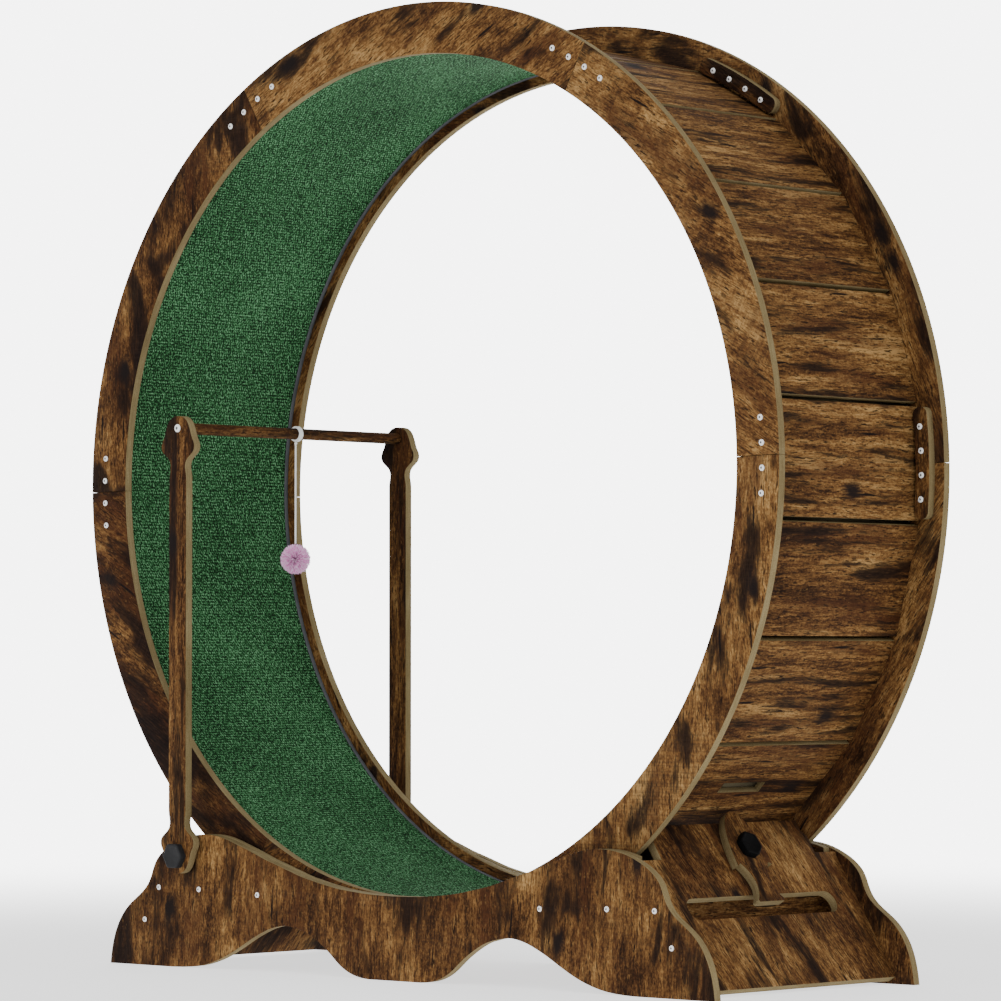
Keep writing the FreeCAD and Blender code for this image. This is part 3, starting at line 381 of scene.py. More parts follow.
def welded(node):
    """The node's mesh with coincident corners merged: vertices, triangles, parts."""
    me = NODES[node].data
    co = np.zeros(len(me.vertices) * 3)
    me.vertices.foreach_get("co", co)
    co = co.reshape(-1, 3)
    key = np.round(co * 1e6).astype(np.int64)
    _, first, inv = np.unique(key, axis=0, return_index=True, return_inverse=True)
    inv = np.asarray(inv).ravel()
    pts = co[first]
    tris = []
    for p in me.polygons:
        ids = [int(inv[i]) for i in p.vertices]
        for k in range(1, len(ids) - 1):
            t = (ids[0], ids[k], ids[k + 1])
            if len(set(t)) == 3:
                tris.append(t)
    parent = list(range(len(pts)))

    def find(a):
        while parent[a] != a:
            parent[a] = parent[parent[a]]
            a = parent[a]
        return a

    for t in tris:
        a, b, c = map(find, t)
        parent[b] = a
        parent[find(c)] = a
    groups = {}
    for t in tris:
        groups.setdefault(find(t[0]), []).append(t)
    parts = sorted(groups.values(), key=lambda g: tuple(np.round(pts[np.array(g).ravel()].mean(0), 5)))
    return pts, parts


def loops_of(tris):
    """Ordered border loops of a patch of triangles."""
    nxt = {}
    edges = set()
    for a, b, c in tris:
        for e in ((a, b), (b, c), (c, a)):
            edges.add(e)
    for a, b in edges:
        if (b, a) not in edges:
            nxt.setdefault(a, []).append(b)
    out = []
    while nxt:
        start = next(iter(nxt))
        loop = [start]
        cur = nxt[start].pop()
        if not nxt[start]:
            del nxt[start]
        while cur != start:
            loop.append(cur)
            n = nxt[cur].pop()
            if not nxt[cur]:
                del nxt[cur]
            cur = n
        out.append(loop)
    return out


def tidy(loop2):
    """Drops points closer than 0.02 mm to the one before."""
    keep = []
    for p in loop2:
        if not keep or np.hypot(*(p - keep[-1])) > 2e-5:
            keep.append(p)
    if len(keep) > 3 and np.hypot(*(keep[0] - keep[-1])) <= 2e-5:
        keep.pop()
    return np.array(keep)


def inset(loop2, d):
    """The loop moved to its left by d, with mitred corners."""
    a = np.roll(loop2, 1, 0)
    b = np.roll(loop2, -1, 0)
    d1 = loop2 - a
    d2 = b - loop2
    d1 /= np.linalg.norm(d1, axis=1)[:, None]
    d2 /= np.linalg.norm(d2, axis=1)[:, None]
    n1 = np.stack([-d1[:, 1], d1[:, 0]], 1)
    n2 = np.stack([-d2[:, 1], d2[:, 0]], 1)
    n = n1 + n2
    ln = np.linalg.norm(n, axis=1)
    ln[ln < 1e-9] = 1e-9
    n /= ln[:, None]
    c = np.clip((n * n1).sum(1), 0.35, 1.0)
    return loop2 + n * (d / c)[:, None]


def board_parts(node, prefer=None):
    """Each solid of a node as a board: (origin, u, v, n, thickness, loops, centre)."""
    pts, parts = welded(node)
    out = []
    for tris in parts:
        T = np.array(tris)
        A, B, C = pts[T[:, 0]], pts[T[:, 1]], pts[T[:, 2]]
        cr = np.cross(B - A, C - A)
        area = np.linalg.norm(cr, axis=1) / 2
        ok = area > 1e-12
        nrm = np.zeros_like(cr)
        nrm[ok] = cr[ok] / (2 * area[ok])[:, None]
        if prefer is not None:
            n = np.array(prefer, float)
            n /= np.linalg.norm(n)
        else:
            key = {}
            for k in range(len(T)):
                if ok[k]:
                    kk = tuple(np.round(nrm[k], 2))
                    key[kk] = key.get(kk, 0) + area[k]
            best = np.array(max(key, key=key.get))
            sel = (nrm @ (best / np.linalg.norm(best))) > 0.999
            n = (nrm[sel] * area[sel][:, None]).sum(0)
            n /= np.linalg.norm(n)
        used = pts[np.unique(T)]
        h = used @ n
        hi, lo = h.max(), h.min()
        face = [tuple(t) for t, a, nn_, o in zip(T, A, nrm, ok) if nn_ @ n > 0.9995 and abs(a @ n - hi) < 2e-5]
        loops = loops_of(face)
        up = np.array([0, 0, 1.0]) if abs(n[2]) < 0.9 else np.array([1.0, 0, 0])
        u = np.cross(up, n)
        u /= np.linalg.norm(u)
        v = np.cross(n, u)
        o = n * ((hi + lo) / 2)
        loops2 = [tidy(np.stack([(pts[l] - o) @ u, (pts[l] - o) @ v], 1)) for l in loops]
        out.append((o, u, v, n, hi - lo, loops2, used.mean(0)))
    return out


def boards(node, grain, mats, bevel=0.4, prefer=None, tone=0.0, spread=0.02, name=None, seed=0):
    """Rebuilds a node's boards with rounded edges, a printed face and a sawn edge.
    grain(centre, n, index) gives the direction of the grain."""
    V, F, FM, SM, GR, TN = [], [], [], [], [], []
    b = bevel * MM
    rng = random.Random(sum(ord(c) * (i + 3) for i, c in enumerate(node)) + seed)
    for idx, (o, u, v, n, th, loops, centre) in enumerate(board_parts(node, prefer)):
        g = np.array(grain(centre, n, idx), float)
        g -= n * (g @ n)
        g /= np.linalg.norm(g)
        c = np.cross(n, g)
        off = np.array([rng.uniform(-9, 9), rng.uniform(-9, 9), rng.uniform(-9, 9)])
        t0 = tone + rng.uniform(-spread, spread)
        start = len(V)

        def put(p2, h):
            ids = []
            for q in p2:
                p = o + u * q[0] + v * q[1] + n * h
                ids.append(len(V))
                V.append(p)
                GR.append(np.array([(p - centre) @ g, (p - centre) @ c, (p - centre) @ n]) + off)
                TN.append(t0)
            return ids

        tops, bots = [], []
        for loop in loops:
            small = inset(loop, b)
            mid = inset(loop, b * 0.30)
            rings = [put(small, th / 2), put(mid, th / 2 - b * 0.30), put(loop, th / 2 - b),
                     put(loop, -th / 2 + b), put(mid, -th / 2 + b * 0.30), put(small, -th / 2)]
            m = len(loop)
            for strip, (r0, r1) in enumerate(zip(rings[:-1], rings[1:])):
                for k in range(m):
                    j = (k + 1) % m
                    F.append((r0[k], r1[k], r1[j], r0[j]))
                    FM.append(1 if strip == 2 else 0)
                    SM.append(True)
            tops.append(rings[0])
            bots.append(rings[5])
        flat = [[Vector((float(q[0]), float(q[1]), 0.0)) for q in inset(loop, b)] for loop in loops]
        ids_t = [i for r in tops for i in r]
        ids_b = [i for r in bots for i in r]
        for a_, b_, c_ in tessellate_polygon(flat):
            pa, pb, pc = (V[ids_t[i]] for i in (a_, b_, c_))
            if np.cross(pb - pa, pc - pa) @ n < 0:
                b_, c_ = c_, b_
            F.append((ids_t[a_], ids_t[b_], ids_t[c_]))
            FM.append(0)
            SM.append(False)
            F.append((ids_b[a_], ids_b[c_], ids_b[b_]))
            FM.append(0)
            SM.append(False)
    obj = new_object(name or node + "_board", V, F, mats, FM, SM,
                     {"gr": ("FLOAT_VECTOR", GR), "tone": ("FLOAT", TN)})
    return finish_piece(obj, node)


def lathe(name, profile, at, axis, mats, segs=48, radial=None, ref=None, seg_mats=None, body=None, sharp=35.0,
          close=False):
    """Turned piece: profile of (radius, height, use_radial) in millimetres round axis."""
    ax = Vector(axis).normalized()
    x = Vector(ref).normalized() if ref is not None else (
        Vector((0, 0, 1)).cross(ax).normalized() if abs(ax.z) < 0.9 else Vector((1, 0, 0)))
    x = (x - ax * x.dot(ax)).normalized()
    y = ax.cross(x)
    at = Vector(at)
    V, F, FM = [], [], []
    rings = []
    for k, row in enumerate(profile):
        r, h = row[0], row[1]
        shaped = len(row) > 2 and row[2]
        if r < 1e-9:
            rings.append([len(V)])
            V.append(at + ax * (h * MM))
            continue
        ids = []
        for s in range(segs):
            t = 2 * math.pi * s / segs
            rr = r * (radial(t) if shaped else 1.0) * MM
            ids.append(len(V))
            V.append(at + ax * (h * MM) + x * (math.cos(t) * rr) + y * (math.sin(t) * rr))
        rings.append(ids)
    pairs = list(zip(rings[:-1], rings[1:]))
    if close:
        pairs.append((rings[-1], rings[0]))
    for k, (a, b) in enumerate(pairs):
        for s in range(segs):
            j = (s + 1) % segs
            if len(a) == 1 and len(b) > 1:
                F.append((a[0], b[j], b[s]))
            elif len(b) == 1 and len(a) > 1:
                F.append((a[s], a[j], b[0]))
            elif len(a) > 1:
                F.append((a[s], a[j], b[j], b[s]))
            else:
                continue
            FM.append(seg_mats[k] if seg_mats else 0)
    return V, F, FM


def hexagon(round_=0.06):
    """Radius of a hexagon of unit corner radius, corners a little rounded."""
    def f(t):
        m = (t % (math.pi / 3)) - math.pi / 6
        flat = math.cos(math.pi / 6) / math.cos(m)
        return min(flat, 1.0 - round_ * 0.8)
    return f


def join(pieces_):
    V, F, FM = [], [], []
    for v, f, m in pieces_:
        k = len(V)
        V += v
        F += [tuple(i + k for i in q) for q in f]
        FM += m
    return V, F, FM


# ------------------------------------------------------------------ boards
def ring_grain(rel):
    def f(centre, n, idx):
        a = math.atan2(centre[2] - AXIS_Z, centre[0]) + math.radians(rel)
        return (math.cos(a), 0.0, math.sin(a))
    return f


def tangent(centre, n, idx):
    a = math.atan2(centre[2] - AXIS_Z, centre[0]) + math.pi / 2
    return (math.cos(a), 0.0, math.sin(a))


TONES = {1: 0.058, 2: 0.050, 3: -0.012, 4: -0.048, 5: 0.0, 6: 0.042}
PLANK_TONES = {1: 0.030, 2: 0.040, 3: 0.030, 4: 0.030, 5: 0.030, 6: 0.020}
for k in range(1, 7):
    boards("front_ring_%d" % k, ring_grain(119.2), [WOOD_RING, EDGE], prefer=(0, -1, 0), tone=TONES[k], seed=2)
    boards("rear_ring_%d" % k, ring_grain(82.0), [WOOD_RING, EDGE], prefer=(0, 1, 0), tone=0.012, seed=5)
    boards("deck_planks_%d" % k, lambda c, n, i: (0, 1, 0), [WOOD_PLANK, EDGE], tone=PLANK_TONES[k], spread=0.03,
           seed=1)
boards("front_joint_plates", tangent, [WOOD_PANEL, EDGE], prefer=(0, 1, 0), tone=0.02)
boards("rear_joint_plates", tangent, [WOOD_PANEL, EDGE], prefer=(0, -1, 0), tone=0.02)
boards("front_panel", lambda c, n, i: (0.03, 0, 1), [WOOD_PANEL, EDGE], prefer=(0, -1, 0), tone=0.0, seed=4)
boards("rear_panel", lambda c, n, i: (0.03, 0, 1), [WOOD_PANEL, EDGE], prefer=(0, 1, 0), seed=9)
boards("front_roller_rail", lambda c, n, i: (1, 0, 0), [WOOD_PANEL, EDGE], prefer=(0, -1, 0), seed=2)
boards("rear_roller_rail", lambda c, n, i: (1, 0, 0), [WOOD_PANEL, EDGE], prefer=(0, 1, 0), seed=3)
boards("right_stretcher", lambda c, n, i: (0, 1, 0), [WOOD_PLANK, EDGE], prefer=(1, 0, 0), tone=0.045, seed=2)
boards("left_stretcher", lambda c, n, i: (0, 1, 0), [WOOD_PLANK, EDGE], prefer=(-1, 0, 0), tone=0.045, seed=4)
TH = math.radians(57.644)
DN = Vector((math.cos(TH), 0, -math.sin(TH)))
NN = Vector((math.sin(TH), 0, math.cos(TH)))
boards("right_ramp", lambda c, n, i: tuple(DN + Vector((0, 0.22, 0))), [WOOD_PANEL, EDGE], prefer=tuple(NN),
       tone=0.024, seed=3)
boards("left_ramp", lambda c, n, i: (-DN.x, -0.2, DN.z), [WOOD_PANEL, EDGE], prefer=(-NN.x, 0, NN.z), seed=3)
boards("lock_pawl", lambda c, n, i: tuple(DN + Vector((0, 0.10, 0))), [WOOD_PANEL, EDGE], prefer=tuple(NN), seed=8)
boards("front_post", lambda c, n, i: (0, 0, 1), [WOOD_PLANK, EDGE], prefer=(0, -1, 0), tone=-0.012, seed=6)
boards("rear_post", lambda c, n, i: (0, 0, 1), [WOOD_PLANK, EDGE], prefer=(0, 1, 0), tone=-0.04, seed=7)


# ------------------------------------------------------------------ screws and bolts
HEX = hexagon(0.0)
SCREW = [(4.2, 0.0), (4.2, 0.35), (4.05, 0.75), (3.7, 1.08), (3.1, 1.34), (2.4, 1.5), (1.75, 1.55, True),
         (1.62, 1.45, True), (1.55, 0.55, True), (0.0, 0.45)]
SCREW_M = [0, 0, 0, 0, 0, 0, 1, 1, 1]


def screw_heads(node, both, scale, tall):
    pts, parts = welded(node)
    made = []
    for tris in parts:
        p = pts[np.unique(np.array(tris))]
        lo, hi = p.min(0), p.max(0)
        cx, cz = (lo[0] + hi[0]) / 2, (lo[2] + hi[2]) / 2
        outer = hi[1] if (lo[1] + hi[1]) > 0 else lo[1]
        inner = lo[1] if (lo[1] + hi[1]) > 0 else hi[1]
        s = 1.0 if outer > inner else -1.0
        ends = [(outer, s)] + ([(inner, -s)] if both else [])
        spin = (cx * 977 + cz * 613) % 1.0 * math.pi / 3
        for y, d in ends:
            prof = [(r[0] * scale, r[1] * tall / 1.55) + tuple(r[2:]) for r in SCREW]
            made.append(lathe("x", prof, (cx, y - d * tall * MM, cz), (0, d, 0), None, 36, HEX,
                              (math.cos(spin), 0, math.sin(spin)), SCREW_M))
        r = min(hi[0] - lo[0], hi[2] - lo[2])
        a, b = (outer - s * tall * MM), (inner + (s * tall * MM if both else 0))
        shank = 2.45 if both else (1.7 if node == "panel_screws" else 2.4)
        length = abs(a - b) / MM
        prof = [(0.0, 0.0)] if not both else []
        if not both:
            prof = [(0.0, 0.0), (shank * 0.25, 0.4), (shank, 3.0)]
            h = 3.0
            while h < length - 1.4:
                prof += [(shank * 0.80, h + 0.35), (shank, h + 0.7)]
                h += 1.2
            prof += [(shank * 0.8, length - 0.01)]
        else:
            prof = [(shank, 0.0), (shank, length)]
        made.append(lathe("x", prof, (cx, b, cz), (0, s, 0), None, 16, None, None, [2] * (len(prof) - 1)))
    V, F, FM = join(made)
    o = new_object(node + "_heads", V, F, [M_WHITE, M_SOCKET, M_STEEL], FM)
    finish_piece(o, node)


screw_heads("front_ring_bolts", True, 3.2 / 4.2, 1.4)
screw_heads("rear_ring_bolts", True, 3.2 / 4.2, 1.4)
screw_heads("panel_screws", False, 3.0 / 4.2, 1.2)
screw_heads("rod_screws", False, 4.4 / 4.2, 1.6)


# ------------------------------------------------------------------ knobs, nut, washers
def knob(node, at, out, grip, ref, plastic=M_KNOB):
    R = 26.0 / math.sqrt(3)
    head = lathe("x", [(0.0, 0.0), (R * 0.985, 0.0, True), (R, 0.5, True), (R, 6.6, True), (R * 0.985, 7.3, True),
                       (R * 0.94, 7.85, True), (R * 0.90, 8.0, True), (R * 0.80, 8.0, True), (R * 0.76, 7.75, True),
                       (0.0, 7.75)],
                 at, out, None, 72, hexagon(0.05), ref, [0] * 9)
    prof = [(0.0, 0.0), (2.9, 0.0), (3.95, 1.0)]
    h = 1.0
    while h < min(grip - 2, 16.0):
        prof += [(3.45, h + 0.6), (3.95, h + 1.2)]
        h += 1.25
    prof += [(3.95, grip + 0.3)]
    tip = Vector(at) - Vector(out).normalized() * (grip * MM)
    shank = lathe("x", prof, tip, out, None, 24, None, None, [1] * (len(prof) - 1))
    V, F, FM = join([head, shank])
    o = new_object(node + "_moulded", V, F, [plastic, M_STEEL], FM, sharp=30)
    return finish_piece(o, node)


PIVOT_Z = 0.1223
knob("front_post_knob", (-0.318, -0.1782, PIVOT_Z), (0, -1, 0), 32.0, (1, 0, 0))
knob("rear_post_knob", (-0.318, 0.1782, PIVOT_Z), (0, 1, 0), 32.0, (1, 0, 0))
REF = Vector((0.3593, 0, 0.086))
PAWL = REF + DN * (-0.0603) + Vector((0, 0.0039, 0))
lo_k, hi_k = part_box("pawl_knob")
knob("pawl_knob", PAWL + NN * 0.0153, tuple(NN), 27.5, DN.cross(NN) * math.sin(math.radians(10)) * -1 + DN * math.cos(math.radians(10)),
     M_KNOB_PAINTED_SHADE)

nut = lathe("x", [(4.12, 0.3), (4.6, 0.0), (6.6, 0.0), (7.3, 0.5, True), (7.5, 0.9, True), (7.5, 5.1, True),
                  (7.3, 5.5, True), (6.6, 6.0), (4.6, 6.0), (4.12, 5.7)], PAWL - NN * 0.011, tuple(NN), None, 72,
            hexagon(0.03), tuple(DN), None, close=True)
o = new_object("pawl_nut_zinc", nut[0], nut[1], [M_STEEL], None, sharp=30)
finish_piece(o, "pawl_nut")

wash = []
for s in (-1, 1):
    wash.append(lathe("x", [(4.1, 0.25), (4.3, 0.0), (9.7, 0.0), (10.0, 0.3), (10.0, 3.1), (9.7, 3.4), (4.3, 3.4),
                            (4.1, 3.15)], (-0.318, s * 0.1648, PIVOT_Z), (0, s, 0), None, 48, close=True))
V, F, FM = join([(w[0], w[1], [0] * len(w[1])) for w in wash])
o = new_object("post_spacers_turned", V, F, [M_NYLON], FM)
finish_piece(o, "post_spacers")


# ------------------------------------------------------------------ rollers, brackets, axles
for c, sx, sy in (("front_right", 1, -1), ("front_left", -1, -1), ("rear_right", 1, 1), ("rear_left", -1, 1)):
    prof = [(4.1, -8.9), (7.2, -8.9), (7.6, -8.5), (7.6, -7.6), (8.2, -7.2), (19.0, -7.2), (19.8, -7.6), (20.2, -8.5),
            (20.8, -9.0), (23.3, -9.0), (24.0, -8.3), (24.0, -6.9), (23.5, -6.0), (19.6, -5.45), (18.4, -5.2),
            (17.7, -4.5), (17.7, 4.5), (18.4, 5.2), (19.6, 5.45), (23.5, 6.0), (24.0, 6.9), (24.0, 8.3), (23.3, 9.0),
            (20.8, 9.0), (20.2, 8.5), (19.8, 7.6), (19.0, 7.2), (8.2, 7.2), (7.6, 7.6), (7.6, 8.5), (7.2, 8.9),
            (4.1, 8.9)]
    body_part = lathe("x", prof, (sx * 0.3045, sy * 0.13335, 0.1128), (0, 1, 0), None, 72, close=True)
    made = [(body_part[0], body_part[1], [0] * len(body_part[1]))]
    # ribs across the hollow face
    for side in (-1, 1):
        for k in range(6):
            a = math.pi / 3 * k + 0.3
            ca, sa = math.cos(a), math.sin(a)
            verts = []
            for r in (7.4, 20.0):
                for w in (-0.8, 0.8):
                    for h in (7.0, 8.4):
                        verts.append(Vector((sx * 0.3045 + (ca * r - sa * w) * MM, sy * 0.13335 + side * h * MM,
                                             0.1128 + (sa * r + ca * w) * MM)))
            f = [(0, 1, 3, 2), (4, 6, 7, 5), (0, 4, 5, 1), (2, 3, 7, 6), (1, 5, 7, 3), (0, 2, 6, 4)]
            if side > 0:
                f = [tuple(reversed(q)) for q in f]
            made.append((verts, f, [0] * 6))
    V, F, FM = join(made)
    o = new_object("roller_%s_moulded" % c, V, F, [M_BLACK], FM, sharp=30)
    finish_piece(o, "roller_" + c)
    for node, m, w in (("roller_bracket_" + c, M_BRACKET, 0.0006), ("roller_axle_" + c, M_STEEL, 0.0005)):
        n = NODES[node]
        n.data.materials.clear()
        n.data.materials.append(m)
        weld = n.modifiers.new("weld", "WELD")
        weld.merge_threshold = 1e-6
        bv = n.modifiers.new("edge", "BEVEL")
        bv.width = w
        bv.segments = 2
        bv.limit_method = "ANGLE"
        bv.angle_limit = math.radians(40)


# ------------------------------------------------------------------ running mat
R_IN, R_OUT = 455.5, 458.3
HALF, EDGE_W = 128.1, 5.6
rng = random.Random(11)
STEP = 1.75
NA = 4 * int(2 * math.pi * R_IN / STEP / 4)
inner_half = HALF - EDGE_W
NY = int(2 * inner_half / STEP) + 1
ys = [-inner_half + 2 * inner_half * i / (NY - 1) for i in range(NY)]
V, F, GR, TIP = [], [], [], []


def loop_height(k, i):
    """Loops in rows across the mat, each row a little out of step with the last."""
    row = k // 2
    ph = (row * 0.37) % 1.0
    a = 0.5 + 0.5 * math.sin(2 * math.pi * (ys[i] / 3.5 + ph))
    b = 1.0 if k % 2 == 0 else 0.25
    return a * b


grid = {}
for k in range(NA):
    for i in range(NY):
        rim = i in (0, NY - 1)
        hgt = 0.0 if rim else max(0.0, min(1.0, loop_height(k, i) * 0.85 + rng.uniform(-0.26, 0.34)))
        r = (R_IN + 0.60 - 0.60 * hgt) * MM
        a = 2 * math.pi * k / NA
        y = (ys[i] + (0.0 if rim else rng.uniform(-0.42, 0.42))) * MM
        grid[k, i] = len(V)
        V.append((r * math.cos(a), y, AXIS_Z + r * math.sin(a)))
        GR.append((a * R_IN * MM, y, 0.0))
        TIP.append(hgt)
for k in range(NA):
    k2 = (k + 1) % NA
    for i in range(NY - 1):
        F.append((grid[k, i], grid[k, i + 1], grid[k2, i + 1], grid[k2, i]))
FM = [0] * len(F)
# backing cloth: coarser, as wide as the bound mat
back = {}
for k in range(0, NA, 4):
    for e, s in ((0, -1), (1, 1)):
        a = 2 * math.pi * k / NA
        back[k, e] = len(V)
        V.append((R_OUT * MM * math.cos(a), s * HALF * MM, AXIS_Z + R_OUT * MM * math.sin(a)))
        GR.append((a * R_IN * MM, s * HALF * MM, 0.01))
        TIP.append(0.0)
for k in range(0, NA, 4):
    k2 = (k + 4) % NA
    F.append((back[k, 0], back[k2, 0], back[k2, 1], back[k, 1]))
    FM.append(1)
    for e, i in ((0, 0), (1, NY - 1)):
        poly = [grid[q % NA, i] for q in range(k, k + 5)] + [back[k2, e], back[k, e]]
        F.append(tuple(poly if e == 0 else reversed(poly)))
        FM.append(1)
mat_obj = new_object("running_mat_pile", V, F, [M_PILE, M_BACKING], FM, None,
                     {"gr": ("FLOAT_VECTOR", GR), "tip": ("FLOAT", TIP)}, sharp=None)
finish_piece(mat_obj, "running_mat")

# bound edge: a narrow ribbed tape over each side of the mat
for s, nm in ((-1, "front"), (1, "rear")):
    V, F = [], []
    n_seg = 1440
    prof = [(inner_half - 0.2, R_IN + 0.55), (inner_half + 0.3, R_IN + 0.05), (inner_half + 1.6, R_IN - 0.10),
            (HALF - 1.4, R_IN - 0.10), (HALF - 0.35, R_IN + 0.15), (HALF, R_IN + 0.8), (HALF, R_OUT),
            (inner_half - 0.2, R_OUT - 0.05)]
    for k in range(n_seg):
        a = 2 * math.pi * k / n_seg
        rib = 0.16 if k % 2 else 0.0
        for j, (y, r) in enumerate(prof):
            rr = (r + (rib if j < 5 else 0.0)) * MM
            V.append((rr * math.cos(a), s * y * MM, AXIS_Z + rr * math.sin(a)))
    m = len(prof)
    for k in range(n_seg):
        k2 = (k + 1) % n_seg
        for j in range(m):
            j2 = (j + 1) % m
            q = (k * m + j, k * m + j2, k2 * m + j2, k2 * m + j)
            F.append(q if s > 0 else tuple(reversed(q)))
    o = new_object("mat_binding_" + nm, V, F, [M_BINDING], None, None, None, sharp=None)
    finish_piece(o, None, "wheel")


# ------------------------------------------------------------------ rod, slide ring, string, pompom
PX, RZ = -0.318, 0.5902
V, F, GR, TN = [], [], [], []
segs = 40
ys_r = [-168.2, -168.0, -167.6] + [-160 + 8 * k for k in range(41)] + [167.6, 168.0, 168.2]
rr_r = [5.85, 6.1, 6.25] + [6.25] * 41 + [6.25, 6.1, 5.85]
for y, r in zip(ys_r, rr_r):
    for s in range(segs):
        t = 2 * math.pi * s / segs
        V.append((PX + r * MM * math.cos(t), y * MM, RZ + r * MM * math.sin(t)))
        GR.append((y * MM + 3.1, r * MM * math.cos(t) + 1.7, r * MM * math.sin(t) + 0.4))
        TN.append(-0.035)
for k in range(len(ys_r) - 1):
    for s in range(segs):
        j = (s + 1) % segs
        F.append((k * segs + s, (k + 1) * segs + s, (k + 1) * segs + j, k * segs + j))
F.append(tuple(range(segs)))
F.append(tuple(reversed(range((len(ys_r) - 1) * segs, len(ys_r) * segs))))
o = new_object("teaser_rod_dowel", V, F, [WOOD_PLANK], None, None,
               {"gr": ("FLOAT_VECTOR", GR), "tone": ("FLOAT", TN)})
finish_piece(o, "teaser_rod")

BAND_Y = 5.2
band = lathe("x", [(6.36, -2.3), (6.5, -2.6), (7.0, -2.7), (7.9, -2.7), (8.5, -2.4), (8.75, -1.8), (8.75, 1.8),
                   (8.5, 2.4), (7.9, 2.7), (7.0, 2.7), (6.5, 2.6), (6.36, 2.3)],
             (PX, BAND_Y * MM, RZ), (0, 1, 0), None, 64, close=True)
o = new_object("slide_ring_moulded", band[0], band[1], [M_NYLON], None)
finish_piece(o, "slide_ring")

# string: three twisted plies that follow the route's own curve
SY, STOP_Z, POM_Z, POM_R = 3.8 * MM, 0.5809, 0.4493, 17.6
pom_top = POM_Z + POM_R * math.sin(math.radians(84.0)) * MM
ROUTE = [(PX, SY, STOP_Z), (PX, SY, STOP_Z - (STOP_Z - pom_top) / 3), (PX, SY, STOP_Z - 2 * (STOP_Z - pom_top) / 3),
         (PX, SY, pom_top)]
cu = bpy.data.curves.new("route", "CURVE")
cu.dimensions = "3D"
sp = cu.splines.new("NURBS")
sp.points.add(len(ROUTE) - 1)
for pt, p in zip(sp.points, ROUTE):
    pt.co = (*p, 1.0)
sp.order_u = 3
sp.use_endpoint_u = True
sp.resolution_u = 60
route_obj = bpy.data.objects.new("route", cu)
COL.objects.link(route_obj)
bpy.context.view_layer.update()
route_mesh = bpy.data.meshes.new_from_object(route_obj)
path = [v.co.copy() for v in route_mesh.vertices]
bpy.data.objects.remove(route_obj)
V, F = [], []
for ply in range(3):
    k0 = len(V)
    for q in path:
        d = (path[0] - q).length
        a = 2 * math.pi * (d / 0.0062 + ply / 3.0)
        cx, cy = 0.52 * MM * math.cos(a), 0.52 * MM * math.sin(a)
        for s in range(10):
            t = 2 * math.pi * s / 10
            V.append((q.x + cx + 0.58 * MM * math.cos(t), q.y + cy + 0.58 * MM * math.sin(t), q.z))
    n = len(path)
    for k in range(n - 1):
        for s in range(10):
            j = (s + 1) % 10
            F.append((k0 + k * 10 + s, k0 + k * 10 + j, k0 + (k + 1) * 10 + j, k0 + (k + 1) * 10 + s)[::-1])
    F.append(tuple(k0 + s for s in range(10)))
    F.append(tuple(reversed([k0 + (n - 1) * 10 + s for s in range(10)])))
string = new_object("teaser_string_twisted", V, F, [M_STRING])
finish_piece(string, "teaser_string")

# knot at the slide ring
V, F = [], []
n = 72
cen = Vector((PX, SY, 0.5798))
ring_pts = []
for k in range(n):
    t = 2 * math.pi * k / n
    x = (math.sin(t) + 2 * math.sin(2 * t)) / 3.0
    y = (math.cos(t) - 2 * math.cos(2 * t)) / 3.0
    z = -math.sin(3 * t)
    ring_pts.append(cen + Vector((x * 1.25, y * 1.25, z * 0.75)) * MM)
for k in range(n):
    d = (ring_pts[(k + 1) % n] - ring_pts[k - 1]).normalized()
    a = d.orthogonal().normalized() if k == 0 else (a - d * a.dot(d)).normalized()
    b = d.cross(a)
    for s in range(8):
        t = 2 * math.pi * s / 8
        V.append(ring_pts[k] + (a * math.cos(t) + b * math.sin(t)) * 0.62 * MM)
for k in range(n):
    k2 = (k + 1) % n
    # match the frame where the loop closes
    shift = 0
    if k2 == 0:
        best = min(range(8), key=lambda q: (V[k * 8] - V[q]).length)
        shift = best
    for s in range(8):
        j = (s + 1) % 8
        F.append((k * 8 + s, k * 8 + j, k2 * 8 + (j + shift) % 8, k2 * 8 + (s + shift) % 8))
knot = new_object("string_knot", V, F, [M_STRING], sharp=None)
finish_piece(knot, None, "teaser_drop")


def pompom_material():
    g = G("pompom_yarn")
    t = g.attr("tip", "Fac")
    r = g.attr("tone", "Fac")
    # yarn darker towards the core, which is painted shade inside the ball, and paler at the tips
    col = g.ramp(g.math("ADD", t, g.math("MULTIPLY", r, 0.25)),
                 [(0.20, (0.44, 0.080, 0.31)), (0.62, (0.80, 0.245, 0.60)), (0.90, (0.90, 0.43, 0.77)),
                  (1.0, (0.93, 0.68, 0.88))])
    g.shader(Base_Color=col, Roughness=0.9)
    g.b.inputs["Specular IOR Level"].default_value = 0.15
    g.b.inputs["Sheen Weight"].default_value = 0.4
    g.b.inputs["Sheen Roughness"].default_value = 0.5
    return g.m


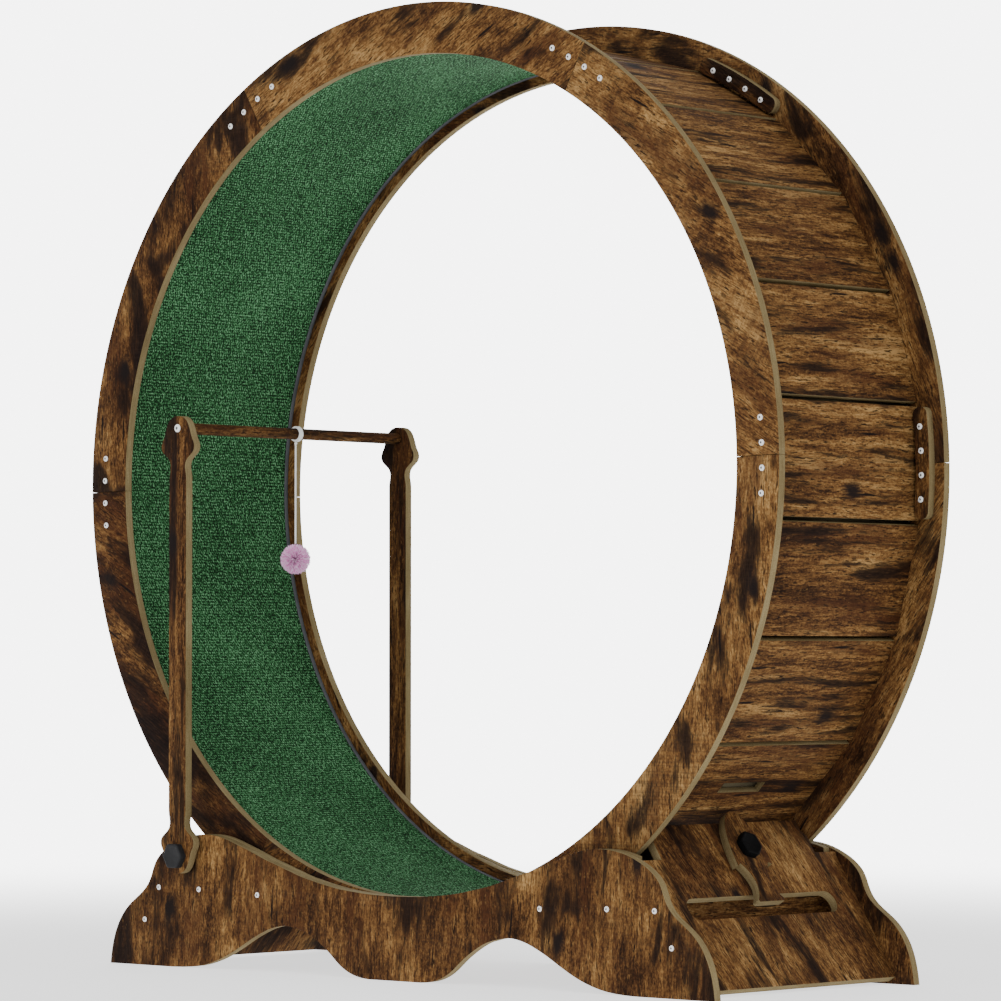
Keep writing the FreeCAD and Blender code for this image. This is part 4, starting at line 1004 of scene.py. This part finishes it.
# pompom: yarn ends standing out from a small core
rng = random.Random(5)
V, F, TP, TN = [], [], [], []
C = Vector((PX, SY, POM_Z))
n_yarn = 1500
gold = math.pi * (3 - math.sqrt(5))
for k in range(n_yarn):
    zz = 1 - 2 * (k + 0.5) / n_yarn
    rad = math.sqrt(max(0.0, 1 - zz * zz))
    th = gold * k
    d = Vector((rad * math.cos(th), rad * math.sin(th), zz))
    d = (d + Vector((rng.uniform(-1, 1), rng.uniform(-1, 1), rng.uniform(-1, 1))) * 0.05).normalized()
    side_v = d.orthogonal().normalized()
    side_v = (side_v * math.cos(th * 3) + d.cross(side_v) * math.sin(th * 3)).normalized()
    bend = rng.uniform(0.2, 1.3)
    full = rng.uniform(15.6, 17.45)
    tone = rng.uniform(-1, 1)
    base = len(V)
    cnt = 5
    for j in range(cnt):
        f = j / (cnt - 1)
        rr = 5.0 + (full - 5.0) * f
        pos = d * rr + side_v * bend * f * f
        if pos.length > 17.5:
            pos = pos.normalized() * 17.5
        w = (0.30 + 0.22 * f) if j < cnt - 1 else 0.30
        a = side_v
        b = d.cross(side_v)
        for s in range(4):
            t = math.pi / 2 * s + k
            V.append(C + (pos + (a * math.cos(t) + b * math.sin(t)) * w) * MM)
            TP.append(f)
            TN.append(tone)
    for j in range(cnt - 1):
        for s in range(4):
            q = (s + 1) % 4
            F.append((base + j * 4 + s, base + j * 4 + q, base + (j + 1) * 4 + q, base + (j + 1) * 4 + s))
    F.append(tuple(base + (cnt - 1) * 4 + s for s in range(4)))
    F.append(tuple(reversed([base + s for s in range(4)])))
pom = new_object("pompom_yarn_ball", V, F, [pompom_material()], None, None,
                 {"tip": ("FLOAT", TP), "tone": ("FLOAT", TN)}, sharp=None)
finish_piece(pom, "pompom")


# ------------------------------------------------------------------ stage
WORLD, BACKDROP, NEAR = 1.0, 6.2, 2.7
TOWARDS = (-0.683, 0.730, 0.0)        # the side that the backdrop stands on
w = bpy.data.worlds.new("studio")
bpy.context.scene.world = w
w.use_nodes = True
nt = w.node_tree
coord = nt.nodes.new("ShaderNodeTexCoord")
dot = nt.nodes.new("ShaderNodeVectorMath")
dot.operation = "DOT_PRODUCT"
nt.links.new(coord.outputs["Generated"], dot.inputs[0])
dot.inputs[1].default_value = TOWARDS
patch = nt.nodes.new("ShaderNodeMapRange")
patch.interpolation_type = "SMOOTHSTEP"
nt.links.new(dot.outputs["Value"], patch.inputs["Value"])
patch.inputs["From Min"].default_value = 0.84
patch.inputs["From Max"].default_value = 0.965
patch.inputs["To Min"].default_value = WORLD
patch.inputs["To Max"].default_value = BACKDROP
nt.nodes["Background"].inputs[0].default_value = (1.0, 1.0, 1.0, 1.0)
nt.links.new(patch.outputs["Result"], nt.nodes["Background"].inputs[1])

bm = bmesh.new()
bmesh.ops.create_circle(bm, cap_ends=True, radius=60.0, segments=96)
me = bpy.data.meshes.new("floor")
bm.to_mesh(me)
bm.free()
floor = bpy.data.objects.new("floor", me)
COL.objects.link(floor)
g = G("floor_paint")
pos = g.t.nodes.new("ShaderNodeTexCoord").outputs["Object"]
ln = g.t.nodes.new("ShaderNodeVectorMath")
ln.operation = "LENGTH"
g.t.links.new(pos, ln.inputs[0])
unit = g.t.nodes.new("ShaderNodeVectorMath")
unit.operation = "NORMALIZE"
g.t.links.new(pos, unit.inputs[0])
fd = g.t.nodes.new("ShaderNodeVectorMath")
fd.operation = "DOT_PRODUCT"
g.t.links.new(unit.outputs[0], fd.inputs[0])
fd.inputs[1].default_value = TOWARDS


def spread_of(value, lo, hi, to_lo, to_hi):
    n = g.t.nodes.new("ShaderNodeMapRange")
    n.interpolation_type = "SMOOTHSTEP"
    g.t.links.new(value, n.inputs["Value"])
    for key, v in (("From Min", lo), ("From Max", hi), ("To Min", to_lo), ("To Max", to_hi)):
        n.inputs[key].default_value = v
    return n.outputs["Result"]


far = spread_of(ln.outputs["Value"], 0.7, 3.0, 0.0, 1.0)
behind = spread_of(fd.outputs["Value"], 0.2, 0.9, 0.0, 1.0)
em = g.t.nodes.new("ShaderNodeEmission")
em.inputs[0].default_value = (1.0, 1.0, 1.0, 1.0)
# from the near strength to the backdrop's behind the object, and to the plain
# studio's on the other sides
aim = g.math("ADD", WORLD, g.math("MULTIPLY", behind, BACKDROP - WORLD))
g.t.links.new(g.math("ADD", g.math("MULTIPLY", g.math("SUBTRACT", 1.0, far), NEAR), g.math("MULTIPLY", far, aim)),
              em.inputs[1])
mx = g.t.nodes.new("ShaderNodeMixShader")
g.shader(Base_Color=(0.86, 0.86, 0.86, 1.0), Roughness=0.85)
g.t.links.new(spread_of(ln.outputs["Value"], 0.6, 2.6, 0.5, 1.0), mx.inputs[0])
g.t.links.new(g.b.outputs[0], mx.inputs[1])
g.t.links.new(em.outputs[0], mx.inputs[2])
g.t.links.new(mx.outputs[0], g.out.inputs[0])
me.materials.append(g.m)


def area(name, at, aim, size, power, colour=(1, 1, 1)):
    d = bpy.data.lights.new(name, "AREA")
    d.energy = power
    d.size = size
    d.color = colour
    o = bpy.data.objects.new(name, d)
    COL.objects.link(o)
    o.location = at
    o.rotation_mode = "QUATERNION"
    o.rotation_quaternion = (Vector(aim) - Vector(at)).to_track_quat("-Z", "Y")
    return o


area("key", (2.6, -1.9, 2.6), (0, 0, 0.4), 1.8, 44)
area("fill", (-0.6, -3.4, 1.5), (0, 0, 0.4), 2.2, 28)
